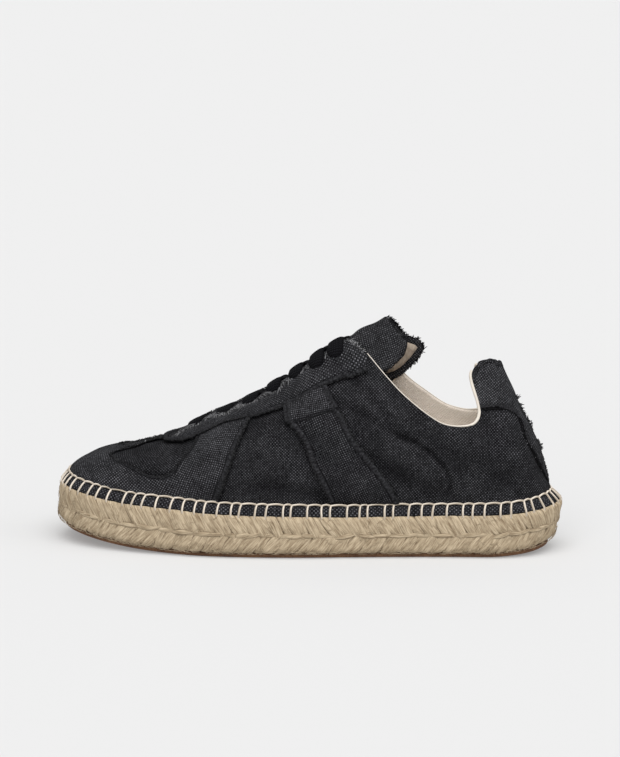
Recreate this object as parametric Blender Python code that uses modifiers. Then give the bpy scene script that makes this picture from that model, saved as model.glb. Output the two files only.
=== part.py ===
"""Low canvas espadrille sneaker for a left foot, EU size 42, standing on its sole.

X runs from the toe (-) to the heel (+), Y from the outer side (-) to the inner side (+), Z up.
The floor is z = 0. Sizes are in millimetres until make_mesh() turns them into metres.

The canvas upper is one form, worked out by form(): every point of it lies on an arch that runs
from the feather line, where canvas meets sole, up to the ridge over the foot. A place on that
form is named by (u, t): u counts cells round the shoe from the toe tip, negative on the outer
side and positive on the inner side, and t runs from the feather line (0) to the opening (1).
"""
import math

import bmesh
import bpy
import numpy as np
from mathutils import Vector

MM = 0.001

# ---- driving dimensions ------------------------------------------------------------------
LENGTH = 290.0            # sole, toe tip to heel tip
HALF = LENGTH / 2
TIP_Y = 4.0               # the toe tip lies towards the inner side
CELLS = 40                # stations along each side of the shoe

RUBBER = 3.0              # outsole thickness
RUBBER_INSET = 4.0        # its edge lies inside the rope's
GAP = 0.35                # between pieces that touch
TOE_SPRING = 9.5
HEEL_LIFT = 4.5
FLAT_FROM = -50.0         # the outsole is flat between these two stations
FLAT_TO = 99.0

HEM_INSET = 1.5           # lower edge of the canvas, inside the rope's outline
FEATHER_INSET = 7.0       # upper edge of the slanted hem
HEM_RISE = 5.2
WALL = 1.8                # two layers of canvas and the lining
OVERLAY = 0.9             # one layer of canvas sewn on
PANEL_LIFT = 0.65         # height of its underside over the upper's outer face
EYESTAY_LIFT = 0.75
LACE_LIFT = 0.6           # height of a lace over the eyestay
LACE_SAG = 2.7            # and how far it hangs into the throat
TONGUE_WALL = 2.6
TONGUE_GAP = 1.0
INSOLE = 3.0
INSOLE_INSET = 9.8

TOE_PIVOT = -95.0         # the arches fan out round this station at the toe
HEEL_PIVOT = 95.0         # and round this one at the heel
EYELET = 2.1              # radius of a punched hole
LACE_SIDES = 6

# Half widths of the rope sole either side of the shoe's axis, by distance from the toe tip.
SOLE_OUTLINE = (
    # from toe, outer, inner
    (0, -TIP_Y, TIP_Y), (6, 17.6, 25.4), (12, 24.6, 32.4), (19, 30.1, 38.0), (31, 36.6, 44.2),
    (43, 41.1, 47.5), (52, 43.6, 49.2), (66, 46.6, 50.6), (78, 48.7, 50.9), (90, 50.2, 50.8),
    (105, 50.9, 49.4), (119, 50.6, 46.6), (143, 48.4, 40.2), (167, 44.6, 34.8),
    (191, 40.6, 31.6), (220, 36.6, 30.6), (240, 34.6, 31.0), (257.5, 33.4, 31.4),
    (270, 30.7, 29.1), (280, 24.9, 22.1), (287, 15.0, 12.3), (290, 1.0, -1.0),
)

# Height of the rope sole's top edge.
SOLE_RIM = (
    # from toe, height
    (0, 33.4), (10, 32.0), (23, 30.4), (35, 29.0), (50, 27.8), (72, 26.9), (90, 25.6),
    (110, 25.0), (154, 24.3), (172, 24.0), (200, 24.4), (241, 24.8), (258, 25.4), (268, 26.2),
    (278, 27.2), (290, 29.0),
)

# Side of the rope sole, from its lower edge to the hem: two rows of braid and the groove.
ROPE_SIDE = (
    # height fraction, inset
    (0.00, 3.4), (0.10, 1.2), (0.27, 0.4), (0.47, 1.3), (0.72, 0.0), (0.93, 0.6),
)

# The ridge over the foot, and past the throat the roof that the collar is cut from.
RIDGE = (
    # x, height, y
    (-145, 42.6, 4.0), (-137, 43.6, 4.0), (-130, 45.0, 4.1), (-123, 47.3, 4.2),
    (-112, 50.0, 4.3), (-102, 52.9, 4.4), (-92, 55.6, 4.5), (-82, 57.9, 4.5),
    (-73, 61.4, 4.5), (-64, 66.9, 4.4), (-55, 71.6, 4.2), (-40, 78.4, 3.8),
    (-26, 85.4, 3.2), (-12, 94.4, 2.6), (2, 104.6, 2.0), (12, 113.0, 1.5), (22, 120.0, 1.0),
    (32, 124.6, 0.6), (45, 127.5, 0.2), (70, 131.0, -0.6), (95, 130.0, -1.0),
    (112, 127.0, -1.0), (145, 118.0, -1.0),
)

# Shape of the arches: how far out they are, as a fraction of the way from ridge to feather
# line, when they have come down by 15 to 90 degrees of a quarter circle.
ARCHES = (
    # x, 15, 30, 45, 60, 75, 90
    (-145, 0.75, 0.845, 0.90, 0.945, 0.98, 1.0),
    (-120, 0.62, 0.78, 0.87, 0.93, 0.98, 1.0),
    (-95, 0.45, 0.68, 0.82, 0.92, 0.98, 1.0),
    (-50, 0.36, 0.62, 0.81, 0.93, 0.99, 1.0),
    (0, 0.37, 0.64, 0.83, 0.96, 1.01, 1.0),
    (45, 0.31, 0.55, 0.76, 0.94, 1.04, 1.0),
    (80, 0.28, 0.50, 0.74, 1.01, 1.11, 1.0),
    (95, 0.21, 0.39, 0.57, 0.93, 1.09, 1.0),
    (120, 0.16, 0.30, 0.46, 0.71, 0.95, 1.0),
    (145, 0.12, 0.23, 0.38, 0.555, 0.84, 1.0),
)

# The collar's edge seen from the side, from the throat's corner to the middle of the back.
COLLAR = (
    # x, height of the outer side, height of the inner side
    (31.7, 117.2, 117.2), (39.1, 110.4, 110.4), (47.0, 102.1, 102.8), (55.6, 93.6, 95.4),
    (65.0, 86.0, 88.6), (74.5, 79.4, 82.4), (81.0, 76.2, 79.2), (88.7, 74.8, 77.6),
    (95.7, 75.2, 77.4), (100.4, 77.6, 79.2), (102.0, 81.7, 82.4), (101.0, 87.0, 87.0),
    (99.2, 92.6, 92.6), (97.2, 98.2, 98.2), (96.0, 102.4, 102.4), (96.8, 105.8, 105.8),
    (99.0, 108.0, 108.0), (102.2, 108.6, 108.6), (105.6, 106.8, 106.8), (108.8, 103.9, 103.9),
    (110.6, 102.3, 102.3),
)

# The throat's edge from above, measured from the ridge.
THROAT = (
    # x, half width
    (-73.0, 0.0), (-72.2, 3.0), (-70.0, 5.6), (-66.5, 7.2), (-40.0, 8.4), (-5.0, 9.0),
    (24.0, 9.5),
)

# Which stretch of the feather line each stretch of the opening is joined to.
STRETCHES = (
    # cells, feather line to x, opening to point
    (9, -82.0, "throat front"),
    (12, 24.0, "throat end"),
    (7, 86.0, "collar low"),
    (3, 112.0, "tab foot"),
    (4, 130.0, "tab corner"),
    (5, 138.0, "back"),
)

# Where the sewn-on panels end, in cells round the shoe and in t up the upper.
FOREFOOT_REAR = (12.5, 2.45)       # u at the feather line, and how much u grows with t
EYESTAY_EDGE = (
    # u, t
    (0.0, 0.800), (4.0, 0.795), (7.0, 0.780), (9.0, 0.755), (10.1, 0.735), (11.0, 0.780),
    (12.1, 0.812), (13.2, 0.800), (15.0, 0.778), (17.0, 0.733), (19.0, 0.673), (20.0, 0.650),
    (21.0, 0.650), (21.9, 0.750), (22.4, 0.840),
)
EYESTAY_END = 22.4
TOE_WINDOW = (
    # u, t, round the hole that leaves the stem of the T between it and its twin
    (1.4, 0.590), (3.3, 0.470), (4.9, 0.370), (6.5, 0.310), (8.0, 0.255), (9.0, 0.245),
    (9.5, 0.300), (9.8, 0.490), (10.4, 0.600), (10.2, 0.690), (7.0, 0.740), (3.6, 0.745),
    (2.2, 0.700),
)
SIDE_STRIPE = (
    # t, u of the front edge, u of the rear edge
    (0.02, 20.2, 24.5), (0.12, 19.6, 24.1), (0.22, 19.0, 23.35), (0.29, 18.7, 22.45),
    (0.34, 18.5, 21.55), (0.45, 17.8, 20.7), (0.54, 17.2, 20.1), (0.72, 16.8, 19.3),
)
HEEL_BORDER = (
    # x, height, seen from the side: the T's arm, then its stem down the back
    (96.0, 84.0), (111.0, 83.6), (120.3, 77.4), (125.9, 65.1), (133.4, 49.1), (138.2, 34.0),
)
TONGUE = (
    # x, half width, rise of its middle, rise of its edge
    (-78.0, 8.4, 0.0, 0.0), (-60.0, 11.6, 0.0, 0.0), (-20.0, 13.9, 0.0, 0.0),
    (14.0, 12.6, 0.0, -0.2), (20.0, 12.4, 1.2, -0.4), (27.5, 12.4, 3.9, -0.4),
    (36.0, 12.2, 4.8, -0.2), (45.0, 11.8, 8.2, 0.0), (51.0, 12.2, 10.6, 2.4),
    (61.0, 13.4, 15.0, 15.0),
)

# Laces: seven flat bars across the throat.
LACE_BARS = (
    # x, reach out from the ridge, width, thickness
    (-63.0, 15.0, 8.0, 1.8), (-46.5, 15.5, 8.0, 1.8), (-31.0, 16.0, 8.0, 1.8),
    (-17.0, 16.5, 8.0, 1.8), (-4.0, 17.0, 8.0, 1.8), (8.0, 20.0, 8.5, 2.4),
    (18.0, 19.0, 8.5, 2.4),
)


# ---- curves and tables -------------------------------------------------------------------
def smooth(rows_x, rows_y, x):
    """Value at x of the smooth curve through the rows, which never overshoots them."""
    rows_x = np.asarray(rows_x, float)
    rows_y = np.asarray(rows_y, float)
    x = np.clip(np.asarray(x, float), rows_x[0], rows_x[-1])
    rise = np.diff(rows_y) / np.diff(rows_x)
    before, after = rise[:-1], rise[1:]
    level = before * after <= 0
    middle = np.where(level, 0.0, 2 * before * after / np.where(level, 1.0, before + after))
    slope = np.concatenate([rise[:1], middle, rise[-1:]])
    k = np.clip(np.searchsorted(rows_x, x, side="right") - 1, 0, len(rows_x) - 2)
    width = rows_x[k + 1] - rows_x[k]
    s = (x - rows_x[k]) / width
    start = (1 + 2 * s) * (1 - s) ** 2 * rows_y[k] + s * (1 - s) ** 2 * width * slope[k]
    end = s * s * (3 - 2 * s) * rows_y[k + 1] + s * s * (s - 1) * width * slope[k + 1]
    return start + end


def column(table, index):
    """One column of a table."""
    return np.array([row[index] for row in table], float)


def turn_of(from_toe):
    """Angle that stands for a distance from the toe tip, so that both ends come out round."""
    return np.arccos(np.clip(1 - np.asarray(from_toe, float) / HALF, -1, 1))


def rim_height(x):
    """Top edge of the rope sole."""
    return smooth(column(SOLE_RIM, 0) - HALF, column(SOLE_RIM, 1), x)


def floor_height(x):
    """Underside of the outsole: flat, with toe spring and a lifted heel end."""
    x = np.asarray(x, float)
    toe = np.clip((FLAT_FROM - x) / (HALF + FLAT_FROM), 0, 1)
    heel = np.clip((x - FLAT_TO) / (HALF - FLAT_TO), 0, 1)
    return TOE_SPRING * toe ** 2.2 + HEEL_LIFT * heel ** 2


def ridge_height(x):
    return smooth(column(RIDGE, 0), column(RIDGE, 1), x)


def ridge_y(x):
    return smooth(column(RIDGE, 0), column(RIDGE, 2), x)


# ---- the sole's outline ------------------------------------------------------------------
FINE = 720
TURNS = np.linspace(0, math.pi, FINE + 1)


def outline_loop():
    """The sole's outline as a fine closed loop, outer side first, with its outward normals."""
    rows = turn_of(column(SOLE_OUTLINE, 0))
    x = HALF * -np.cos(TURNS)
    outer = np.stack([x, -smooth(rows, column(SOLE_OUTLINE, 1), TURNS)], axis=1)
    inner = np.stack([x, smooth(rows, column(SOLE_OUTLINE, 2), TURNS)], axis=1)
    loop = np.concatenate([outer, inner[-2:0:-1]])
    along = np.roll(loop, -3, axis=0) - np.roll(loop, 3, axis=0)
    along /= np.linalg.norm(along, axis=1)[:, None]
    return loop, np.stack([along[:, 1], -along[:, 0]], axis=1)


LOOP, OUTWARD = outline_loop()


def edge_line(side, inset):
    """One side of the outline from toe to heel, moved inwards by inset."""
    index = np.arange(FINE + 1) if side < 0 else -np.arange(FINE + 1)
    return LOOP[index] - OUTWARD[index] * inset


def edge_ring(inset, cells=CELLS):
    """Closed ring of points: toe tip, outer side, heel tip, inner side."""
    step = FINE // cells
    index = np.arange(0, 2 * FINE, step)
    inset = np.broadcast_to(np.asarray(inset, float), index.shape)
    return LOOP[index] - OUTWARD[index] * inset[:, None], LOOP[index, 0]


# ---- the form of the upper ---------------------------------------------------------------
FEATHER = {side: edge_line(side, FEATHER_INSET) for side in (-1, 1)}


def feather_height(x):
    """Height of the feather line over the point x of the sole's outline."""
    return rim_height(x) + HEM_RISE


def feather_rise():
    """Height of the feather line, by its own x."""
    line = FEATHER[-1]
    return line[:, 0], feather_height(edge_line(-1, 0.0)[:, 0])


FEATHER_X, FEATHER_Z = feather_rise()


def fan(px, py, pivot_x, forward):
    """Distance and direction from a pivot, and the distance of the feather line that way."""
    pivot = np.array([pivot_x, float(ridge_y(pivot_x))])
    dx = (px - pivot[0]) * forward
    dy = py - pivot[1]
    angle = np.arctan2(dy, np.maximum(dx, 0.0))
    reach = np.zeros_like(px)
    for side in (-1, 1):
        line = FEATHER[side]
        keep = (line[:, 0] - pivot[0]) * forward >= -2.0
        rel = line[keep] - pivot
        bearing = np.arctan2(rel[:, 1], rel[:, 0] * forward)
        order = np.argsort(bearing)
        found = np.interp(angle, bearing[order], np.hypot(rel[:, 0], rel[:, 1])[order])
        reach = np.where((dy >= 0) == (side > 0), found, reach)
    return pivot, angle, np.hypot(dx, dy), reach


def arch_out(x, fall):
    """How far out an arch is when it has come down by the fraction fall of a right angle."""
    rows = column(ARCHES, 0)
    spots = np.linspace(0, 1, 7)
    values = [np.zeros_like(x)] + [smooth(rows, column(ARCHES, k), x) for k in range(1, 7)]
    values = np.stack(values)
    rise = np.diff(values, axis=0) * 6
    before, after = rise[:-1], rise[1:]
    level = before * after <= 0
    middle = np.where(level, 0.0, 2 * before * after / np.where(level, 1.0, before + after))
    slope = np.concatenate([rise[:1], middle, rise[-1:]])
    k = np.clip((fall * 6).astype(int), 0, 5)
    pick = np.arange(len(x))
    s = np.clip(fall * 6 - k, 0, 1)
    width = spots[1]
    start = (1 + 2 * s) * (1 - s) ** 2 * values[k, pick] + s * (1 - s) ** 2 * width * slope[k, pick]
    end = s * s * (3 - 2 * s) * values[k + 1, pick]
    return start + end + s * s * (s - 1) * width * slope[k + 1, pick]


def form(pattern):
    """Points of the upper's outer form. The pattern is the form pressed flat: (n, 2)."""
    pattern = np.asarray(pattern, float).reshape(-1, 2)
    px, py = pattern[:, 0], pattern[:, 1]
    side = np.where(py < ridge_y(px), -1, 1)
    base = np.stack([px, ridge_y(px)], axis=1)
    edge_y = np.where(side < 0, np.interp(px, FEATHER[-1][:, 0], FEATHER[-1][:, 1]),
                      np.interp(px, FEATHER[1][:, 0], FEATHER[1][:, 1]))
    rim = np.stack([px, edge_y], axis=1)
    fall = np.abs(py - base[:, 1]) / np.maximum(np.abs(edge_y - base[:, 1]), 1e-6)
    station = px.copy()
    for pivot_x, forward, end in ((TOE_PIVOT, -1, -HALF), (HEEL_PIVOT, 1, HALF)):
        inside = (px - pivot_x) * forward > 0
        pivot, angle, distance, reach = fan(px, py, pivot_x, forward)
        way = np.stack([np.cos(angle) * forward, np.sin(angle)], axis=1)
        base[inside] = pivot
        rim[inside] = (pivot + way * reach[:, None])[inside]
        fall[inside] = (distance / np.maximum(reach, 1e-6))[inside]
        swing = 1 - np.abs(angle) / (math.pi / 2)
        station[inside] = (pivot_x + (end - pivot_x) * swing)[inside]
    fall = np.clip(fall, 0, 1)
    out = arch_out(station, fall)
    spot = base + (rim - base) * out[:, None]
    drop = ridge_height(rim[:, 0]) - np.interp(rim[:, 0], FEATHER_X, FEATHER_Z)
    z = ridge_height(spot[:, 0]) - drop * (1 - np.cos(fall * math.pi / 2))
    return np.column_stack([spot, z])


def form_normal(pattern, step=0.4):
    """Outward normals of the form at pattern points."""
    pattern = np.asarray(pattern, float).reshape(-1, 2)
    dx, dy = np.array([step, 0.0]), np.array([0.0, step])
    along = form(pattern + dx) - form(pattern - dx)
    across = form(pattern + dy) - form(pattern - dy)
    normal = np.cross(along, across)
    return normal / np.linalg.norm(normal, axis=1)[:, None]


def pattern_from_side(x, z, side):
    """Pattern point whose place on the form, seen from the side, is (x, z)."""
    if x <= HEEL_PIVOT:
        edge_y = np.interp(x, FEATHER[side][:, 0], FEATHER[side][:, 1])
        middle = float(ridge_y(x))
        ys = middle + (edge_y - middle) * np.linspace(0, 1, 400)
        heights = form(np.column_stack([np.full(400, x), ys]))[:, 2]
        return np.array([x, np.interp(-z, -heights, ys)])
    centre = np.array([110.0, 12.0 * side])
    span = np.array([30.0, 24.0])
    for _ in range(6):
        grid_x, grid_y = np.meshgrid(np.linspace(-1, 1, 41), np.linspace(-1, 1, 41))
        trial = centre + np.column_stack([grid_x.ravel(), grid_y.ravel()]) * span
        trial[:, 0] = np.maximum(trial[:, 0], HEEL_PIVOT)
        trial[:, 1] = np.where(trial[:, 1] * side < -1.0, -1.0, trial[:, 1])
        placed = form(trial)
        miss = np.hypot(placed[:, 0] - x, placed[:, 2] - z)
        centre = trial[int(np.argmin(miss))]
        span = span / 6
    return centre


def pattern_from_top(x, half_width, side):
    """Pattern point that lies half_width from the ridge, seen from above."""
    edge_y = np.interp(x, FEATHER[side][:, 0], FEATHER[side][:, 1])
    middle = float(ridge_y(x))
    ys = middle + (edge_y - middle) * np.linspace(0, 0.7, 300)
    out = np.abs(form(np.column_stack([np.full(300, x), ys]))[:, 1] - middle)
    return np.array([x, np.interp(half_width, out, ys)])


def spread(points, cells):
    """Points along a polyline, evenly spaced by length, both ends included."""
    points = np.asarray(points, float)
    run = np.concatenate([[0], np.cumsum(np.linalg.norm(np.diff(points, axis=0), axis=1))])
    even = np.linspace(0, run[-1], cells + 1)
    return np.column_stack([np.interp(even, run, points[:, k]) for k in range(2)])


def opening_line(side):
    """Pattern points of the opening on one side, split into the stretches of STRETCHES."""
    throat = [pattern_from_top(x, half, side) for x, half in THROAT]
    height = 1 if side < 0 else 2
    collar = [pattern_from_side(row[0], row[height], side) for row in COLLAR]
    collar[-1] = np.array([collar[-1][0], float(ridge_y(HEEL_PIVOT))])
    return {
        "throat front": throat[:4],
        "throat end": throat[3:],
        "collar low": throat[-1:] + collar[:8],
        "tab foot": collar[7:11],
        "tab corner": collar[10:16],
        "back": collar[15:],
    }


def feather_stretch(side, x_from, x_to, cells):
    """Pattern points on the feather line between two stations."""
    line = FEATHER[side]
    low = int(np.argmin(np.abs(line[:, 0] - x_from)))
    high = int(np.argmin(np.abs(line[:, 0] - x_to)))
    return spread(line[low:high + 1], cells)


def cell_lines():
    """Feather line and opening, one pattern point for every cell line of u, by side."""
    lines = {}
    for side in (-1, 1):
        opening = opening_line(side)
        start = -HALF
        foot, top = [], []
        for cells, x_end, name in STRETCHES:
            if name == "back":
                x_end = HALF
            foot.append(feather_stretch(side, start, x_end, cells)[:-1])
            top.append(spread(opening[name], cells)[:-1])
            start = x_end
        foot.append(FEATHER[side][-1:])
        top.append(np.array([opening["back"][-1]]))
        lines[side] = (np.concatenate(foot), np.concatenate(top))
    return lines


CELL_LINES = cell_lines()


def pattern_at(u, t):
    """Pattern point of (u, t). Outer side u < 0, inner side u > 0, toe tip u = 0."""
    u, t = np.broadcast_arrays(np.asarray(u, float), np.asarray(t, float))
    result = np.zeros(u.shape + (2,))
    for side in (-1, 1):
        foot, top = CELL_LINES[side]
        count = np.arange(len(foot))
        for k in range(2):
            low = np.interp(np.abs(u), count, foot[:, k])
            high = np.interp(np.abs(u), count, top[:, k])
            value = low + (high - low) * t
            result[..., k] = np.where((u < 0) == (side < 0), value, result[..., k])
    return result


def on_upper(u, t, lift=0.0):
    """Points of the upper's outer face, lifted off it along its normals."""
    pattern = pattern_at(u, t)
    flat = pattern.reshape(-1, 2)
    away = form_normal(flat).reshape(pattern.shape[:-1] + (3,))
    return form(flat).reshape(away.shape) + away * lift


# ---- scene, materials and meshes ---------------------------------------------------------
def clear_scene():
    for obj in list(bpy.data.objects):
        bpy.data.objects.remove(obj, do_unlink=True)


def make_collection(name):
    collection = bpy.data.collections.new(name)
    bpy.context.scene.collection.children.link(collection)
    return collection


def make_material(name, colour, roughness):
    material = bpy.data.materials.new(name)
    material.use_nodes = True
    shader = material.node_tree.nodes["Principled BSDF"]
    shader.inputs["Base Color"].default_value = (*colour, 1.0)
    shader.inputs["Roughness"].default_value = roughness
    shader.inputs["Metallic"].default_value = 0.0
    material.diffuse_color = (*colour, 1.0)
    return material


def make_mesh(name, points, faces, collection, material=None):
    """Object from points in millimetres."""
    mesh = bpy.data.meshes.new(name)
    mesh.from_pydata((np.asarray(points, float) * MM).tolist(), [], faces)
    mesh.update()
    obj = bpy.data.objects.new(name, mesh)
    collection.objects.link(obj)
    if material is not None:
        mesh.materials.append(material)
    return obj


def face_outwards(obj):
    """Turn all faces of a closed mesh outwards."""
    work = bmesh.new()
    work.from_mesh(obj.data)
    bmesh.ops.recalc_face_normals(work, faces=work.faces)
    work.to_mesh(obj.data)
    work.free()


def face_away_from_foot(obj):
    """Turn an open sheet so that its faces point away from the inside of the shoe."""
    outward = 0.0
    for face in obj.data.polygons:
        inside = Vector((face.center.x, float(ridge_y(face.center.x / MM)) * MM, 20.0 * MM))
        outward += face.normal.dot(face.center - inside) * face.area
    if outward < 0:
        obj.data.flip_normals()


def lofted_rings(name, rings, collection, material):
    """Closed solid from rings of equal count, closed by strips across from side to side."""
    rings = np.asarray(rings)
    count = rings.shape[1]
    faces = []
    for row in range(len(rings) - 1):
        for k in range(count):
            nxt = (k + 1) % count
            low, high = row * count, (row + 1) * count
            faces.append((low + k, low + nxt, high + nxt, high + k))
    for start in (0, (len(rings) - 1) * count):
        half = count // 2
        faces.append((start, start + 1, start + count - 1))
        faces.append((start + half, start + half + 1, start + half - 1))
        for k in range(1, half - 1):
            faces.append((start + k, start + k + 1, start + count - k - 1, start + count - k))
    obj = make_mesh(name, rings.reshape(-1, 3), faces, collection, material)
    face_outwards(obj)
    return obj


def sheet(name, grid, collection, material, around=False):
    """Open sheet from a grid of points. With around, its last column joins the first."""
    rows, count = grid.shape[:2]
    faces = []
    for row in range(rows - 1):
        for k in range(count if around else count - 1):
            nxt = (k + 1) % count
            low, high = row * count, (row + 1) * count
            faces.append((low + k, low + nxt, high + nxt, high + k))
    obj = make_mesh(name, grid.reshape(-1, 3), faces, collection, material)
    face_away_from_foot(obj)
    return obj


def thicken(obj, thickness, offset):
    """Give a sheet its wall: offset -1 goes inwards, 1 outwards."""
    solid = obj.modifiers.new("Wall", "SOLIDIFY")
    solid.thickness = thickness * MM
    solid.offset = offset
    solid.use_even_offset = True


def cut(obj, cutter):
    """Take a cutter away from an object."""
    boolean = obj.modifiers.new("Cut " + cutter.name, "BOOLEAN")
    boolean.operation = "DIFFERENCE"
    boolean.solver = "EXACT"
    boolean.object = cutter


# ---- the sole and the insole -------------------------------------------------------------
def make_outsole(collection, material):
    """Thin brown rubber sheet under the rope, following toe spring and heel lift."""
    rings = []
    for inset, height in ((RUBBER_INSET + 1.0, 0.0), (RUBBER_INSET, 0.8), (RUBBER_INSET, RUBBER)):
        spots, _ = edge_ring(inset + heel_lean(0.0))
        z = floor_height(spots[:, 0]) + height
        rings.append(np.column_stack([spots, z]))
    return lofted_rings("outsole", rings, collection, material)


def heel_lean(level):
    """Extra inset of the sole's side round the heel, at a fraction of its height."""
    _, x = edge_ring(0.0)
    round_heel = np.clip((x - 112.0) / (HALF - 112.0), 0, 1)
    return 4.0 * (1 - level) ** 1.3 * round_heel


def toe_lean(x):
    """Extra inset of the hem round the toe, where the side leans back."""
    return 1.2 * np.clip((-115.0 - x) / (HALF - 115.0), 0, 1)


def make_jute(collection, material):
    """Rope sole: two braided rows round the side, and a slope under the hem."""
    rings = []
    _, x = edge_ring(0.0)
    rim = rim_height(x)
    for level, inset in ROPE_SIDE:
        spots, _ = edge_ring(inset + heel_lean(level) + toe_lean(x) * level ** 2)
        low = floor_height(spots[:, 0]) + RUBBER + GAP
        rings.append(np.column_stack([spots, low + (rim - 1.0 - low) * level]))
    for inset, rise in ((2.0, -1.75), (3.2, -1.65), (7.3, 2.2)):
        spots, _ = edge_ring(inset + toe_lean(x))
        rings.append(np.column_stack([spots, rim + rise]))
    return lofted_rings("jute_midsole", rings, collection, material)


def make_insole(collection, material):
    """Footbed inside the upper."""
    rings = []
    _, x = edge_ring(0.0)
    rim = rim_height(x)
    bottom = 2.2 + GAP
    for inset, rise in ((0.0, bottom), (0.0, bottom + INSOLE - 0.8), (1.2, bottom + INSOLE)):
        spots, _ = edge_ring(INSOLE_INSET + inset + toe_lean(x))
        rings.append(np.column_stack([spots, rim + rise]))
    return lofted_rings("insole", rings, collection, material)


# ---- the canvas --------------------------------------------------------------------------
UPPER_ROWS = np.linspace(0, 1, 10)


def hem_point(u):
    """Lower edge of the hem, outside the feather line of cell line u."""
    side = -1 if u < 0 else 1
    foot = CELL_LINES[side][0][abs(u)]
    line = FEATHER[side]
    k = int(np.argmin(np.hypot(line[:, 0] - foot[0], line[:, 1] - foot[1])))
    x = edge_line(side, 0.0)[k, 0]
    spot = edge_line(side, HEM_INSET + float(toe_lean(x)))[k]
    return (*spot, float(rim_height(x)))


def make_upper(collection, material, cutter):
    """Hollow canvas upper with its slanted hem, open at throat, collar and underneath."""
    columns = list(range(0, -CELLS - 1, -1)) + list(range(CELLS - 1, 0, -1))
    rows = [np.array([hem_point(u) for u in columns])]
    for t in UPPER_ROWS:
        rows.append(on_upper(np.array(columns), t))
    obj = sheet("upper", np.stack(rows), collection, material, around=True)
    thicken(obj, WALL, -1.0)
    cut(obj, cutter)
    return obj


def sewn_on(name, u, t, collection, material, lift=PANEL_LIFT):
    """Panel of one canvas layer that lies on the upper, from grids of u and t."""
    points = on_upper(u, t, lift)
    obj = sheet(name, points, collection, material)
    thicken(obj, OVERLAY, 1.0)
    return obj


def eyestay_edge(u):
    """Lower edge of the eyestay at u, as t."""
    return smooth(column(EYESTAY_EDGE, 0), column(EYESTAY_EDGE, 1), np.abs(u))


def make_toe_overlay(collection, material, cutters):
    """T-shaped toe piece: it wraps the forefoot, and two windows leave its stem."""
    across = np.linspace(-1, 1, 31)
    up = np.linspace(0, 1, 9)[:, None]
    top = eyestay_edge(across * 14.0) - 0.03
    t = 0.012 + (top - 0.012) * up
    u = across * (FOREFOOT_REAR[0] + FOREFOOT_REAR[1] * t)
    obj = sewn_on("toe_overlay", u, t, collection, material)
    for cutter in cutters:
        cut(obj, cutter)
    return obj


def make_eyestay(collection, material, cutter):
    """U-shaped panel round the throat, with the eyelets."""
    u = np.concatenate([[-EYESTAY_END], np.arange(-22.0, 23.0), [EYESTAY_END]])
    up = np.linspace(0, 1, 5)[:, None]
    edge = eyestay_edge(u)
    t = edge + (0.985 - edge) * up
    u = np.broadcast_to(u, t.shape)
    lift = EYESTAY_LIFT + 0.5 * np.clip(np.abs(u) - 20.6, 0, 1)
    obj = sewn_on("eyestay", u, t, collection, material, lift[..., None])
    cut(obj, cutter)
    return obj


def make_side_stripe(name, side, collection, material):
    """Slanted panel on one side, from the feather line up to the eyestay."""
    across = np.linspace(0, 1, 7)
    rows = column(SIDE_STRIPE, 0)
    t_top = np.interp(across, [0, 1], [0.705, 0.635])
    t = 0.015 + (t_top - 0.015) * np.linspace(0, 1, 9)[:, None]
    front = smooth(rows, column(SIDE_STRIPE, 1), t.ravel()).reshape(t.shape)
    rear = smooth(rows, column(SIDE_STRIPE, 2), t.ravel()).reshape(t.shape)
    u = (front + (rear - front) * across) * side
    if side < 0:
        u, t = u[:, ::-1], t[:, ::-1]
    return sewn_on(name, u, t, collection, material)


def make_heel_patch(collection, material, cutter):
    """T-shaped panel: its arm covers the heel tab and its stem runs down the back."""
    outer = np.arange(-30.0, -CELLS - 1, -1.0)
    turns = np.concatenate([outer, -outer[-2::-1]])
    t = np.linspace(0.012, 0.985, 11)[:, None]
    u, t = np.broadcast_arrays(turns, t)
    obj = sewn_on("heel_patch", u, t, collection, material)
    cut(obj, cutter)
    return obj


def make_tongue(collection, material):
    """Tongue under the throat. Its end stands free and is bent round the instep."""
    across = np.linspace(-1, 1, 11)
    along = np.linspace(0, 1, 15)[:, None]
    start = TONGUE[0][0]
    reach = 45.4 + 15.5 * np.abs(across) ** 1.5
    x = start + (reach - start) * along
    bend = np.broadcast_to(across, x.shape)
    rows = column(TONGUE, 0)
    flat = x.ravel()
    half, middle, edge = (smooth(rows, column(TONGUE, k), flat) for k in (1, 2, 3))
    side = bend.ravel()
    pattern = np.column_stack([flat, ridge_y(flat) + half * side])
    points = form(pattern) - form_normal(pattern) * (WALL + TONGUE_GAP)
    narrow = 11 - 8 * np.clip((flat - 28) / 14, 0, 1)
    points[:, 2] += edge + (middle - edge) * (1 - side ** 2) ** narrow
    obj = sheet("tongue", points.reshape(x.shape + (3,)), collection, material)
    thicken(obj, TONGUE_WALL, -1.0)
    return obj


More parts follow.
